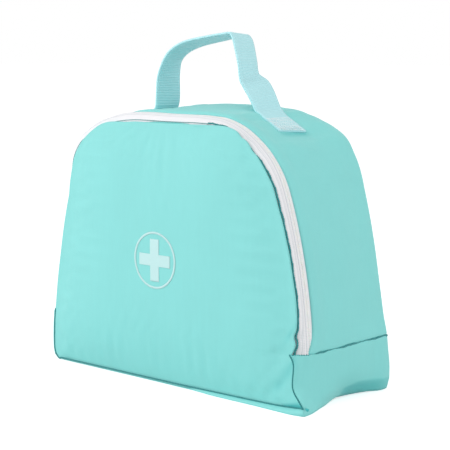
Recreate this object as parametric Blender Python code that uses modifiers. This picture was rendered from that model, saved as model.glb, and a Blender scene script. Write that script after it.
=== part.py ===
"""Toy dentist kit: a soft dome-shaped carry bag with a zip-open front, and the toy instruments inside.

Metres, +Z up. The origin is the middle of the base, on the surface the bag stands on. +X runs to
the right along the front and -Y is the front. The outline of the front is a loop of tangent arcs.
Every band that runs round the bag, such as zip tape, gusset and base, is a strip of one surface:
the outline, pushed out by a crown that is highest half way through the bag's depth.
"""

from collections import namedtuple
from math import asin, cos, hypot, pi, radians, sin

import bmesh
import bpy
from mathutils import Matrix, Vector

# Outline of the front, as half of a symmetric loop
BODY_DEPTH = 0.094
SEAM_HALF_WIDTH = 0.119
SEAM_HEIGHT = 0.038
SIDE_LEAN = radians(2.6)
SIDE_ARC_RADIUS = 0.375
SIDE_ARC_TURN = radians(16.3)
SHOULDER_RADIUS = 0.063
BASE_CORNER_RADIUS = 0.014

# How far the filled bag swells beyond its seams
SIDE_CROWN = 0.0035
TOP_CROWN = 0.008
FRONT_CROWN = 0.006
BACK_CROWN = 0.004
CROWN_POWER = 4

# Cloth
SHELL_THICK = 0.0018
LINING_THICK = 0.0008
GAP = 0.0003

# Zip
TAPE_SHOW = 0.0088
TAPE_THICK = 0.0008
COIL_WIDTH = 0.0022
COIL_HEIGHT = 0.0011
SLIDER_LENGTH = 0.011
SLIDER_PLATE = 0.0012
SLIDER_FLANGE = 0.001
SLIDER_PARK = 0.010
FLAP_SLIDE_ROOM = 0.0011
BAIL_WIDTH = 0.0016
BAIL_WALL = 0.0009
BAIL_BORE_RADIUS = 0.0012
PULL_THICK = 0.0012
PULL_WIDTH = 0.0068
PULL_LENGTH = 0.026
PULL_BAR = 0.0012
PULL_WINDOW_WIDTH = 0.0024
PULL_WINDOW_LENGTH = 0.0042

# Carry handle of flat webbing
WEB_WIDTH = 0.025
WEB_THICK = 0.0016
HANDLE_CENTRE_X = -0.004
HANDLE_Y = 0.0095
HANDLE_HALF_SPAN = 0.049
HANDLE_RISE = 0.041
FOOT_LENGTH = 0.027
HANDLE_PATH_SHARES = (
    (-1.000, 0.000), (-1.000, 0.200), (-0.984, 0.410), (-0.925, 0.580), (-0.816, 0.707),
    (-0.633, 0.810), (-0.410, 0.883), (-0.122, 0.940), (0.163, 0.985), (0.347, 1.000),
    (0.459, 0.959), (0.530, 0.860), (0.571, 0.676), (0.598, 0.493), (0.643, 0.360),
    (0.765, 0.224), (0.900, 0.130), (0.986, 0.054), (1.000, 0.000),
)

# Elastic loops on the back wall
STRAP_THICK = 0.001
STRAP_LOW = 0.044
STRAP_HEIGHT = 0.016
STRAP_TAIL = 0.009
LOOP_POWER_SHARE = 0.5

# Toy instruments, standing in the loops
GRIP_RADIUS = 0.00375
GRIP_LENGTH = 0.088
GRIP_WAIST = 0.0029
NECK_RADIUS = 0.0015
NECK_LENGTH = 0.016
MIRROR_X = -0.024
MIRROR_RADIUS = 0.0105
MIRROR_THICK = 0.0032
MIRROR_RIM = 0.0012
GLASS_THICK = 0.0008
PROBE_X = 0.008
HOOK_RADIUS = 0.001
HOOK_REACH = 0.009
HOOK_RISE = 0.026
SYRINGE_X = -0.062
BARREL_RADIUS = 0.008
BARREL_WALL = 0.0012
BARREL_LENGTH = 0.058
FLANGE_RADIUS = 0.0125
FLANGE_THICK = 0.002
NOZZLE_RADIUS = 0.0022
NOZZLE_LENGTH = 0.012
PISTON_LENGTH = 0.006
PLUNGER_ROD_RADIUS = 0.0028
PLUNGER_DRAWN = 0.022
THUMB_RADIUS = 0.0095
THUMB_THICK = 0.0022
FORCEPS_X = 0.048
FORCEPS_PLATE = 0.003
FORCEPS_PIVOT_HEIGHT = 0.036
FORCEPS_REACH = 0.082
FORCEPS_SPREAD = 0.014
FORCEPS_BAR = 0.0052
RIVET_RADIUS = 0.0016
RIVET_HEAD_RADIUS = 0.0028
RIVET_HEAD = 0.0008
# One half of the forceps, jaw tip to handle end: across, up (below the pivot in jaw lengths, above it
# in handle lengths) and width, each as a share
FORCEPS_HALF_SHARES = (
    (-0.36, -1.00, 0.45), (-0.52, -0.80, 0.75), (-0.50, -0.50, 0.90), (-0.30, -0.25, 1.05),
    (0.00, 0.00, 1.63), (0.30, 0.12, 1.05), (0.52, 0.30, 0.95), (0.72, 0.55, 0.95),
    (0.92, 0.80, 1.00), (1.00, 1.00, 0.70),
)

# How finely round forms are stepped
SIDE_STEPS = 6
SHOULDER_STEPS = 8
TOP_STEPS = 5
BASE_SIDE_STEPS = 2
CORNER_STEPS = 4
BOTTOM_STEPS = 6
PANEL_STEPS = 10
GUSSET_STEPS = 6
TURNED_STEPS = 20
LOOP_STEPS = 10
END_STEPS = 5
END_TURN = radians(84)

# Colours as linear RGB
TURQUOISE = (0.36, 0.77, 0.75)
WEBBING = (0.38, 0.72, 0.78)
WHITE = (0.85, 0.85, 0.87)
LINING = (0.72, 0.78, 0.79)
PINK = (0.80, 0.35, 0.45)
STEEL = (0.72, 0.73, 0.75)
YELLOW = (0.85, 0.65, 0.20)

# Worked out from the sizes above
HALF_DEPTH = BODY_DEPTH / 2
RING_END = HALF_DEPTH - SHELL_THICK - GAP
ZIP_LINE = -RING_END + TAPE_SHOW + GAP / 2
GUSSET_FRONT = ZIP_LINE + GAP / 2 + TAPE_SHOW + GAP
LINING_LIFT = -(SHELL_THICK + GAP)
PANEL_INSET = SHELL_THICK + LINING_THICK + 2 * GAP
SHOULDER_START = SIDE_LEAN + SIDE_ARC_TURN
SHOULDER_TURN = pi / 2 - SHOULDER_START
SIDE_CENTRE = (
    SEAM_HALF_WIDTH - SIDE_ARC_RADIUS * cos(SIDE_LEAN),
    SEAM_HEIGHT - SIDE_ARC_RADIUS * sin(SIDE_LEAN),
)
SHOULDER_CENTRE = (
    SIDE_CENTRE[0] + (SIDE_ARC_RADIUS - SHOULDER_RADIUS) * cos(SHOULDER_START),
    SIDE_CENTRE[1] + (SIDE_ARC_RADIUS - SHOULDER_RADIUS) * sin(SHOULDER_START),
)
TOP_HALF = SHOULDER_CENTRE[0]
TOP_HEIGHT = SHOULDER_CENTRE[1] + SHOULDER_RADIUS
WALL_Y = RING_END - LINING_THICK - GAP
FLOOR_Z = SHELL_THICK + LINING_THICK + 2 * GAP
STRAP_TOP = STRAP_LOW + STRAP_HEIGHT

# One station on the outline: place, outward normal and height of the crown there
Station = namedtuple("Station", "x z nx nz crown")


def side_station(turn):
    """Station on the right side arc, after this much turn from the base seam."""
    angle = SIDE_LEAN + turn
    x = SIDE_CENTRE[0] + SIDE_ARC_RADIUS * cos(angle)
    z = SIDE_CENTRE[1] + SIDE_ARC_RADIUS * sin(angle)
    return Station(x, z, cos(angle), sin(angle), SIDE_CROWN)


def shoulder_station(share):
    """Station on the right shoulder arc, from its foot (0) to the flat top (1)."""
    angle = SHOULDER_START + share * SHOULDER_TURN
    x = SHOULDER_CENTRE[0] + SHOULDER_RADIUS * cos(angle)
    z = SHOULDER_CENTRE[1] + SHOULDER_RADIUS * sin(angle)
    crown = SIDE_CROWN + (TOP_CROWN - SIDE_CROWN) * sin(share * pi / 2) ** 2
    return Station(x, z, cos(angle), sin(angle), crown)


def top_station(x):
    """Station on the flat top."""
    return Station(x, TOP_HEIGHT, 0.0, 1.0, TOP_CROWN)


def walk_station(length):
    """Station this far along the outline from the middle of the top, to the right."""
    if length <= TOP_HALF:
        return top_station(length)
    return shoulder_station(1 - (length - TOP_HALF) / (SHOULDER_RADIUS * SHOULDER_TURN))


def mirrored(station):
    """The same station on the left half."""
    return station._replace(x=-station.x, nx=-station.nx)


def rising_half(trim=0.0):
    """Right half of the upper outline, from the base seam to the flat top."""
    first = trim / SIDE_ARC_RADIUS
    stations = [side_station(first + (SIDE_ARC_TURN - first) * i / SIDE_STEPS) for i in range(SIDE_STEPS)]
    stations += [shoulder_station(i / SHOULDER_STEPS) for i in range(SHOULDER_STEPS + 1)]
    return stations


def upper_loop(left_trim, right_trim):
    """Upper outline from the left base seam, over the top, to the right base seam."""
    left = [mirrored(station) for station in rising_half(left_trim)]
    top = [top_station(TOP_HALF * (2 * i / TOP_STEPS - 1)) for i in range(1, TOP_STEPS)]
    return left + top + rising_half(right_trim)[::-1]


def falling_base():
    """Right half of the base outline, from the seam down and round the corner to the flat bottom."""
    top = SEAM_HEIGHT - GAP / 2
    drop = top - BASE_CORNER_RADIUS
    stations = []
    for i in range(BASE_SIDE_STEPS):
        z = top - drop * i / BASE_SIDE_STEPS
        stations.append(Station(SEAM_HALF_WIDTH, z, 1.0, 0.0, SIDE_CROWN))
    for i in range(CORNER_STEPS + 1):
        angle = i / CORNER_STEPS * pi / 2
        x = SEAM_HALF_WIDTH - BASE_CORNER_RADIUS * (1 - cos(angle))
        z = BASE_CORNER_RADIUS * (1 - sin(angle))
        stations.append(Station(x, z, cos(angle), -sin(angle), SIDE_CROWN * cos(angle)))
    return stations


def base_loop():
    """Base outline from the right seam, under the bag, to the left seam."""
    right = falling_base()
    flat = SEAM_HALF_WIDTH - BASE_CORNER_RADIUS
    bottom = [Station(flat * (1 - 2 * i / BOTTOM_STEPS), 0.0, 0.0, -1.0, 0.0) for i in range(1, BOTTOM_STEPS)]
    left = [mirrored(station) for station in right[::-1]]
    return right + bottom + left


def band_point(station, y, lift):
    """Point of the bag's surface at a station and a depth, lifted off it along the outline's normal."""
    out = station.crown * (1 - (y / HALF_DEPTH) ** 2) + lift
    return Vector((station.x + station.nx * out, y, station.z + station.nz * out))


def panel_swell(share, z):
    """How far a panel has swollen, from 0 at its seams to 1 in its middle."""
    across = 1 - abs(share) ** CROWN_POWER
    up = 1 - abs(2 * z / TOP_HEIGHT - 1) ** CROWN_POWER
    return across * max(up, 0.0)


def spread(first, last, steps):
    """Evenly spaced values, both ends included."""
    return [first + (last - first) * i / steps for i in range(steps + 1)]


def make_material(name, colour, roughness, metallic=0.0):
    """Plain Principled material."""
    material = bpy.data.materials.new(name)
    material.use_nodes = True
    shader = material.node_tree.nodes["Principled BSDF"]
    shader.inputs["Base Color"].default_value = (*colour, 1.0)
    shader.inputs["Roughness"].default_value = roughness
    shader.inputs["Metallic"].default_value = metallic
    return material


def add_object(name, data, material, matrix=None):
    """New part from a mesh or curve, in the kit's collection."""
    obj = bpy.data.objects.new(name, data)
    KIT.objects.link(obj)
    data.materials.append(material)
    if matrix is not None:
        obj.matrix_world = matrix
    return obj


def grid_shell(name, columns, rows, place, thickness, material, offset=-1.0):
    """Open grid whose points are placed by a function, with a wall of the given thickness."""
    across = len(columns) - 1
    along = len(rows) - 1
    bm = bmesh.new()
    bmesh.ops.create_grid(bm, x_segments=across, y_segments=along, size=0.5)
    for vert in bm.verts:
        column = columns[round((vert.co.x + 0.5) * across)]
        row = rows[round((vert.co.y + 0.5) * along)]
        vert.co = place(column, row)
    mesh = bpy.data.meshes.new(name)
    bm.to_mesh(mesh)
    bm.free()
    obj = add_object(name, mesh, material)
    wall = obj.modifiers.new("wall", "SOLIDIFY")
    wall.thickness = thickness
    wall.offset = offset
    wall.use_even_offset = True
    return obj


def turned(name, profile, place, material):
    """Turned piece: a profile of radius and height, run down its outer side."""
    bm = bmesh.new()
    verts = [bm.verts.new((radius, 0.0, height)) for radius, height in profile]
    for first, second in zip(verts, verts[1:]):
        bm.edges.new((first, second))
    mesh = bpy.data.meshes.new(name)
    bm.to_mesh(mesh)
    bm.free()
    obj = add_object(name, mesh, material, Matrix.Translation(place))
    screw = obj.modifiers.new("turn", "SCREW")
    screw.axis = "Z"
    screw.angle = 2 * pi
    screw.steps = TURNED_STEPS
    screw.render_steps = TURNED_STEPS
    screw.use_merge_vertices = True
    screw.merge_threshold = 0.00001
    screw.use_smooth_shade = True
    return obj


def box_mesh(name, low, high):
    """Box between two corners."""
    bm = bmesh.new()
    bmesh.ops.create_cube(bm, size=1.0)
    for vert in bm.verts:
        vert.co = [low[i] + (vert.co[i] + 0.5) * (high[i] - low[i]) for i in range(3)]
    mesh = bpy.data.meshes.new(name)
    bm.to_mesh(mesh)
    bm.free()
    return mesh


def rod_mesh(name, radius, length):
    """Cylinder along Y, centred on its own origin."""
    bm = bmesh.new()
    turn = Matrix.Rotation(pi / 2, 4, "X")
    bmesh.ops.create_cone(
        bm, cap_ends=True, segments=TURNED_STEPS, radius1=radius, radius2=radius, depth=length, matrix=turn
    )
    mesh = bpy.data.meshes.new(name)
    bm.to_mesh(mesh)
    bm.free()
    return mesh


def combine(target, mesh, matrix, operation):
    """Join or cut a part with a hidden guide."""
    guide = bpy.data.objects.new(mesh.name, mesh)
    GUIDES.objects.link(guide)
    guide.matrix_world = matrix
    guide.hide_render = True
    guide.display_type = "WIRE"
    step = target.modifiers.new(mesh.name, "BOOLEAN")
    step.operation = operation
    step.object = guide


def build_bands():
    """Everything that runs round the bag between its front and back panels."""
    trim = GAP / 2
    coil_start = SLIDER_PARK + SLIDER_LENGTH / 2 + GAP
    loop = upper_loop(trim, trim)
    coil_loop = upper_loop(coil_start, trim)

    def band(name, stations, first, last, steps, lift, thickness, material):
        """Strip of the bag's surface between two depths."""
        rows = spread(first, last, steps)
        return grid_shell(name, stations, rows, lambda s, y: band_point(s, y, lift), thickness, material)

    tape_front = (-RING_END, ZIP_LINE - GAP / 2)
    tape_rear = (ZIP_LINE + GAP / 2, GUSSET_FRONT - GAP)
    coil_lift = GAP + COIL_HEIGHT
    band("zip_tape_front", loop, *tape_front, 2, 0.0, TAPE_THICK, TAPE)
    band("zip_tape_rear", loop, *tape_rear, 2, 0.0, TAPE_THICK, TAPE)
    band("zip_coil_front", coil_loop, tape_front[1] - COIL_WIDTH, tape_front[1], 1, coil_lift, COIL_HEIGHT, COIL)
    band("zip_coil_rear", coil_loop, tape_rear[0], tape_rear[0] + COIL_WIDTH, 1, coil_lift, COIL_HEIGHT, COIL)
    band("gusset", loop, GUSSET_FRONT, RING_END, GUSSET_STEPS, 0.0, SHELL_THICK, CLOTH)
    band("gusset_lining", loop, GUSSET_FRONT, RING_END, GUSSET_STEPS, LINING_LIFT, LINING_THICK, LINER)
    base = base_loop()
    band("base_band", base, -RING_END, RING_END, GUSSET_STEPS, 0.0, SHELL_THICK, CLOTH)
    band("base_lining", base, -RING_END, RING_END, GUSSET_STEPS, LINING_LIFT, LINING_THICK, LINER)


def build_panels():
    """Front panel in two stretches, either side of the line it folds down on, and the back panel."""
    lower = falling_base()[::-1]
    upper = rising_half(GAP / 2)
    shares = spread(-1.0, 1.0, PANEL_STEPS)

    def panel(name, stations, columns, front, inset, start, crown, thickness, material):
        """Swollen sheet inside the outline; start is the depth of its outer face at the seams."""
        side = -1 if front else 1

        def place(share, station):
            """Point at a share of the width, on one station's row."""
            x = share * (station.x - station.nx * inset)
            z = station.z - station.nz * inset
            return Vector((x, side * (start + crown * panel_swell(share, z)), z))

        return grid_shell(name, columns, stations, place, thickness, material)

    lining_depth = HALF_DEPTH - SHELL_THICK - GAP
    fold_row = [upper[0]._replace(nz=0.0)] + upper[1:]
    panel("front_foot", lower, shares, True, 0.0, HALF_DEPTH, FRONT_CROWN, SHELL_THICK, CLOTH)
    panel("front_panel", upper, shares, True, 0.0, HALF_DEPTH, FRONT_CROWN, SHELL_THICK, CLOTH)
    panel("front_foot_lining", lower, shares, True, PANEL_INSET, lining_depth, FRONT_CROWN, LINING_THICK, LINER)
    panel("front_lining", fold_row, shares, True, PANEL_INSET, lining_depth, FRONT_CROWN, LINING_THICK, LINER)
    whole = lower + upper[1:]
    flipped = shares[::-1]
    flat = spread(1.0, -1.0, 2)
    panel("back_panel", whole, flipped, False, 0.0, HALF_DEPTH, BACK_CROWN, SHELL_THICK, CLOTH)
    panel("back_lining", whole, flat, False, PANEL_INSET, RING_END, 0.0, LINING_THICK, LINER)


def slider_frame():
    """Frame on the tape's outer face where the slider parks: up the zip, across it, and outwards."""
    station = mirrored(side_station(SLIDER_PARK / SIDE_ARC_RADIUS))
    slope = -2 * station.crown * ZIP_LINE / HALF_DEPTH ** 2
    normal = Vector((station.nx, 0.0, station.nz))
    across = (Vector((0.0, 1.0, 0.0)) + normal * slope).normalized()
    up = Vector((station.nz, 0.0, -station.nx))
    out = up.cross(across)
    frame = Matrix((up, across, out)).transposed().to_4x4()
    frame.translation = band_point(station, ZIP_LINE, 0.0)
    return frame


def build_slider():
    """Zip slider astride the coil, with the bail that its pull hangs from."""
    frame = slider_frame()
    half = SLIDER_LENGTH / 2
    channel = COIL_WIDTH + GAP / 2 + GAP
    wing = channel + SLIDER_FLANGE
    under = COIL_HEIGHT + 2 * GAP
    top = under + SLIDER_PLATE
    slider = add_object(
        "zip_slider", box_mesh("slider_plate", (-half, -wing, under), (half, wing, top)), METAL, frame
    )
    rear = box_mesh("slider_rear_flange", (-half, channel, GAP), (half, wing, top))
    front = box_mesh("slider_front_flange", (-half, -wing, FLAP_SLIDE_ROOM), (half, -channel, top))
    bail_half = BAIL_BORE_RADIUS + BAIL_WALL
    bail_top = top + 2 * BAIL_BORE_RADIUS + BAIL_WALL
    bail = box_mesh(
        "slider_bail",
        (-bail_half, -BAIL_WIDTH / 2, under + SLIDER_PLATE / 2),
        (bail_half, BAIL_WIDTH / 2, bail_top),
    )
    for mesh in (rear, front, bail):
        combine(slider, mesh, frame, "UNION")
    bore_centre = Matrix.Translation((0.0, 0.0, top + BAIL_BORE_RADIUS))
    combine(slider, rod_mesh("slider_bore", BAIL_BORE_RADIUS, 2 * BAIL_WIDTH), frame @ bore_centre, "DIFFERENCE")
    return frame @ bore_centre


def build_pull(frame):
    """Flat pull tab, whose crossbar turns in the slider's bail."""
    curve = bpy.data.curves.new("zip_pull", "CURVE")
    curve.dimensions = "2D"
    curve.fill_mode = "BOTH"
    curve.extrude = PULL_THICK / 2
    end = PULL_BAR / 2
    round_steps = END_STEPS
    half = PULL_WIDTH / 2
    outer = [(end, half), (end, -half)]
    centre = half - PULL_LENGTH
    for i in range(round_steps + 1):
        angle = pi * i / round_steps
        outer.append((centre - half * sin(angle), -half * cos(angle)))
    window_half = PULL_WINDOW_WIDTH / 2
    far = -end - PULL_WINDOW_LENGTH
    window = [(-end, window_half), (far, window_half), (far, -window_half), (-end, -window_half)]
    for points in (outer, window):
        spline = curve.splines.new("POLY")
        spline.points.add(len(points) - 1)
        for point, (x, y) in zip(spline.points, points):
            point.co = (x, y, 0.0, 1.0)
        spline.use_cyclic_u = True
    add_object("zip_pull", curve, METAL, frame)


def handle_axis_height():
    """Height of the line that the handle swings about, half a web width over the gusset."""
    reach = HANDLE_HALF_SPAN - abs(HANDLE_CENTRE_X) - WEB_THICK / 2
    station = walk_station(outline_length(reach))
    return band_point(station, HANDLE_Y, GAP).z + WEB_WIDTH / 2


def build_handle():
    """Webbing loop, round-ended where it meets the gusset, and its two feet sewn flat."""
    axis = handle_axis_height()
    half = WEB_WIDTH / 2
    path = []
    for i in range(END_STEPS):
        angle = END_TURN * (1 - i / END_STEPS)
        path.append((-HANDLE_HALF_SPAN, axis - half * sin(angle), cos(angle)))
    for across, up in HANDLE_PATH_SHARES:
        path.append((across * HANDLE_HALF_SPAN, axis + up * HANDLE_RISE, 1.0))
    for i in range(END_STEPS):
        angle = END_TURN * (i + 1) / END_STEPS
        path.append((HANDLE_HALF_SPAN, axis - half * sin(angle), cos(angle)))

    def place(point, share):
        """Point of the webbing at a share of its width."""
        x, z, width = point
        return Vector((HANDLE_CENTRE_X + x, HANDLE_Y + share * half * width, z))

    grid_shell("handle_loop", path, [-1.0, 0.0, 1.0], place, WEB_THICK, WEB, offset=0.0)

    rows = spread(HANDLE_Y - half, HANDLE_Y + half, 2)
    lift = GAP + WEB_THICK
    for name, side in (("handle_foot_left", -1), ("handle_foot_right", 1)):
        leg = HANDLE_HALF_SPAN + side * HANDLE_CENTRE_X
        first = outline_length(leg) + WEB_THICK / 2 + GAP
        lengths = spread(first, first + FOOT_LENGTH, END_STEPS)
        stations = [walk_station(length) for length in lengths]
        if side < 0:
            stations = [mirrored(station) for station in stations[::-1]]
        grid_shell(name, stations, rows, lambda s, y: band_point(s, y, lift), WEB_THICK, WEB)


def outline_length(x):
    """Length along the outline from the middle of the top to a station at this x."""
    if x <= TOP_HALF:
        return x
    return TOP_HALF + SHOULDER_RADIUS * asin((x - TOP_HALF) / SHOULDER_RADIUS)


def instrument_places():
    """Each instrument in its loop: place across, half width and depth of the loop."""
    grip = GRIP_RADIUS + GAP
    pair = 2 * FORCEPS_PLATE + GAP + 2 * (RIVET_HEAD + GAP)
    return (
        (SYRINGE_X, BARREL_RADIUS + GAP, FLANGE_RADIUS + BARREL_RADIUS + 2 * GAP),
        (MIRROR_X, grip, 2 * grip),
        (PROBE_X, grip, 2 * grip),
        (FORCEPS_X, forceps_width_in_loop(), pair + 2 * GAP),
    )


def forceps_width_in_loop():
    """Half width of the open forceps at the top of the elastic loop."""
    up = (STRAP_TOP - FLOOR_Z - FORCEPS_PIVOT_HEIGHT) / FORCEPS_REACH
    across = [share for share in FORCEPS_HALF_SHARES if share[1] >= 0]
    for low, high in zip(across, across[1:]):
        if low[1] <= up <= high[1]:
            part = (up - low[1]) / (high[1] - low[1])
            return FORCEPS_SPREAD * (low[0] + part * (high[0] - low[0])) + FORCEPS_BAR
    return FORCEPS_SPREAD


def build_strap():
    """Elastic sewn to the back wall between the instruments, and looped over each of them."""
    points = []
    places = instrument_places()
    first, last = places[0], places[-1]
    points.append((first[0] - first[1] - STRAP_TAIL, WALL_Y))
    for x, half, depth in places:
        for i in range(LOOP_STEPS + 1):
            angle = pi * i / LOOP_STEPS
            across = abs(cos(angle)) ** LOOP_POWER_SHARE
            side = -1 if i < LOOP_STEPS / 2 else 1
            bulge = max(sin(angle), 0.0) ** LOOP_POWER_SHARE
            points.append((x + side * across * (half + GAP), WALL_Y - bulge * (depth + GAP)))
    points.append((last[0] + last[1] + STRAP_TAIL, WALL_Y))
    rows = [STRAP_LOW, STRAP_TOP]
    grid_shell(
        "elastic_loops", points, rows, lambda p, z: Vector((p[0], p[1], z)), STRAP_THICK, ELASTIC, offset=1.0
    )


def grip_profile(neck_top):
    """Turned grip of an instrument: waisted, with a neck of the given height on top."""
    shoulder = GRIP_LENGTH * 0.94
    return [
        (0.0, neck_top), (NECK_RADIUS, neck_top), (NECK_RADIUS, GRIP_LENGTH), (GRIP_WAIST, shoulder),
        (GRIP_RADIUS, shoulder - GRIP_RADIUS), (GRIP_RADIUS, GRIP_LENGTH * 0.70),
        (GRIP_WAIST, GRIP_LENGTH * 0.66), (GRIP_RADIUS, GRIP_LENGTH * 0.62),
        (GRIP_RADIUS, GRIP_WAIST), (GRIP_WAIST, 0.0), (0.0, 0.0),
    ]


def build_mirror():
    """Mouth mirror: grip with its neck, round head and the glass set into the head's face."""
    y = WALL_Y - GAP - GRIP_RADIUS
    neck_top = GRIP_LENGTH + NECK_LENGTH
    turned("mirror_grip", grip_profile(neck_top), (MIRROR_X, y, FLOOR_Z), PLASTIC_PINK)
    face = MIRROR_THICK / 2
    seat = face - GLASS_THICK - GAP
    bowl = MIRROR_RADIUS - MIRROR_RIM
    head = [(0.0, seat), (bowl, seat), (bowl, face), (MIRROR_RADIUS, face), (MIRROR_RADIUS, -face), (0.0, -face)]
    tilt = Matrix.Rotation(pi / 2, 4, "X")
    centre = Matrix.Translation((MIRROR_X, y, FLOOR_Z + neck_top + GAP + MIRROR_RADIUS))
    ring = turned("mirror_head", head, (0.0, 0.0, 0.0), PLASTIC_PINK)
    ring.matrix_world = centre @ tilt
    glass_radius = bowl - GAP
    low = seat + GAP
    high = low + GLASS_THICK
    disc = [(0.0, high), (glass_radius, high), (glass_radius, low), (0.0, low)]
    glass = turned("mirror_glass", disc, (0.0, 0.0, 0.0), GLASS)
    glass.matrix_world = centre @ tilt


def build_probe():
    """Probe: grip, and a thin hooked tip that stands in its neck."""
    y = WALL_Y - GAP - GRIP_RADIUS
    neck_top = GRIP_LENGTH + NECK_LENGTH / 2
    turned("probe_grip", grip_profile(neck_top), (PROBE_X, y, FLOOR_Z), PLASTIC_YELLOW)
    curve = bpy.data.curves.new("probe_hook", "CURVE")
    curve.dimensions = "3D"
    curve.bevel_depth = HOOK_RADIUS
    curve.bevel_resolution = 2
    curve.use_fill_caps = True
    spline = curve.splines.new("POLY")
    steps = TURNED_STEPS // 2
    points = [(0.0, 0.0, 0.0), (0.0, 0.0, HOOK_RISE / 2)]
    for i in range(1, steps + 1):
        angle = pi * i / steps
        points.append((HOOK_REACH / 2 * (1 - cos(angle)), 0.0, HOOK_RISE / 2 * (1 + sin(angle))))
    spline.points.add(len(points) - 1)
    for point, place in zip(spline.points, points):
        point.co = (*place, 1.0)
    base = FLOOR_Z + neck_top + GAP
    add_object("probe_hook", curve, METAL, Matrix.Translation((PROBE_X, y, base)))


def build_syringe():
    """Toy syringe, nozzle down: barrel with finger flange, and its plunger half drawn."""
    y = WALL_Y - GAP - FLANGE_RADIUS
    place = (SYRINGE_X, y, FLOOR_Z)
    bore = BARREL_RADIUS - BARREL_WALL
    low = NOZZLE_LENGTH
    floor = low + BARREL_WALL
    top = low + BARREL_LENGTH
    barrel = [
        (0.0, floor), (bore, floor), (bore, top), (FLANGE_RADIUS, top), (FLANGE_RADIUS, top - FLANGE_THICK),
        (BARREL_RADIUS, top - FLANGE_THICK), (BARREL_RADIUS, low), (NOZZLE_RADIUS, low), (NOZZLE_RADIUS, 0.0),
        (0.0, 0.0),
    ]
    turned("syringe_barrel", barrel, place, PLASTIC_CLEAR)
    piston = bore - GAP
    foot = floor + GAP + PLUNGER_DRAWN
    thumb_low = top + PLUNGER_DRAWN + THUMB_THICK
    thumb_top = thumb_low + THUMB_THICK
    plunger = [
        (0.0, thumb_top), (THUMB_RADIUS, thumb_top), (THUMB_RADIUS, thumb_low), (PLUNGER_ROD_RADIUS, thumb_low),
        (PLUNGER_ROD_RADIUS, foot + PISTON_LENGTH), (piston, foot + PISTON_LENGTH), (piston, foot), (0.0, foot),
    ]
    turned("syringe_plunger", plunger, place, PLASTIC_PINK)


def build_forceps():
    """Extraction forceps, jaws down: two crossed halves in two layers, held by one rivet."""
    back = WALL_Y - GAP - RIVET_HEAD - GAP
    pivot_z = FLOOR_Z + FORCEPS_PIVOT_HEIGHT
    middle = FORCEPS_PLATE + GAP / 2
    for name, side, layer in (("forceps_left", 1, 0), ("forceps_right", -1, 1)):
        path = []
        for across, up, width in FORCEPS_HALF_SHARES:
            reach = FORCEPS_PIVOT_HEIGHT - FORCEPS_BAR / 4 if up < 0 else FORCEPS_REACH
            path.append((side * across * FORCEPS_SPREAD, up * reach, width * FORCEPS_BAR / 2))
        widths = [point[2] for point in path]
        face = back - layer * (FORCEPS_PLATE + GAP) - FORCEPS_PLATE
        stations = []
        for i, (x, z, width) in enumerate(path):
            ahead = path[min(i + 1, len(path) - 1)]
            behind = path[max(i - 1, 0)]
            run = (ahead[0] - behind[0], ahead[1] - behind[1])
            length = hypot(*run)
            stations.append((x, z, -run[1] / length * widths[i], run[0] / length * widths[i]))

        def place(station, share, face=face):
            """Point of the bar at a share of its width, in its layer."""
            x, z, side_x, side_z = station
            return Vector((FORCEPS_X + x + share * side_x, face, pivot_z + z + share * side_z))

        half = grid_shell(name, stations, [-1.0, 0.0, 1.0], place, FORCEPS_PLATE, PLASTIC_YELLOW)
        hole = rod_mesh(name + "_hole", RIVET_RADIUS + GAP, 4 * FORCEPS_PLATE)
        combine(half, hole, Matrix.Translation((FORCEPS_X, back - middle, pivot_z)), "DIFFERENCE")
    head = middle + GAP + RIVET_HEAD
    under = middle + GAP
    rivet = [
        (0.0, head), (RIVET_HEAD_RADIUS, head), (RIVET_HEAD_RADIUS, under), (RIVET_RADIUS, under),
        (RIVET_RADIUS, -under), (RIVET_HEAD_RADIUS, -under), (RIVET_HEAD_RADIUS, -head), (0.0, -head),
    ]
    pin = turned("forceps_rivet", rivet, (0.0, 0.0, 0.0), METAL)
    turn = Matrix.Rotation(pi / 2, 4, "X")
    pin.matrix_world = Matrix.Translation((FORCEPS_X, back - middle, pivot_z)) @ turn


for old in list(bpy.data.objects):
    bpy.data.objects.remove(old)

KIT = bpy.data.collections.new("toy_dentist_kit")
GUIDES = bpy.data.collections.new("guides")
bpy.context.scene.collection.children.link(KIT)
bpy.context.scene.collection.children.link(GUIDES)

CLOTH = make_material("turquoise_cloth", TURQUOISE, 0.75)
WEB = make_material("webbing", WEBBING, 0.8)
TAPE = make_material("zip_tape", WHITE, 0.7)
COIL = make_material("zip_coil", WHITE, 0.4)
METAL = make_material("metal", STEEL, 0.3, 1.0)
LINER = make_material("lining", LINING, 0.85)
ELASTIC = make_material("elastic", WHITE, 0.8)
PLASTIC_PINK = make_material("pink_plastic", PINK, 0.35)
PLASTIC_YELLOW = make_material("yellow_plastic", YELLOW, 0.35)
PLASTIC_CLEAR = make_material("barrel_plastic", WHITE, 0.2)
GLASS = make_material("mirror_glass", STEEL, 0.05, 1.0)

build_panels()
build_bands()
build_pull(build_slider())
build_handle()
build_strap()
build_mirror()
build_probe()
build_syringe()
build_forceps()
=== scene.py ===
"""Looks of the toy dentist kit: a soft dome-shaped carry bag with a zip-open front, and its instruments.

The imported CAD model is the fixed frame. Every cloth is a grid of points on the bag's own surface, which is
the outline of the front pushed out by crowns, and is then moved to where the soft bag has it: pinched
seams, a corner pulled out to a point and a base folded under. Metres, +Z up, -Y front, and the origin is
the middle of the base on the floor.
"""

import logging
from dataclasses import dataclass
from enum import Enum
from math import cos, pi, radians, sin
from typing import Sequence

import bmesh
import bpy
import numpy as np
from mathutils import Matrix, Vector
from mathutils.bvhtree import BVHTree


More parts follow.
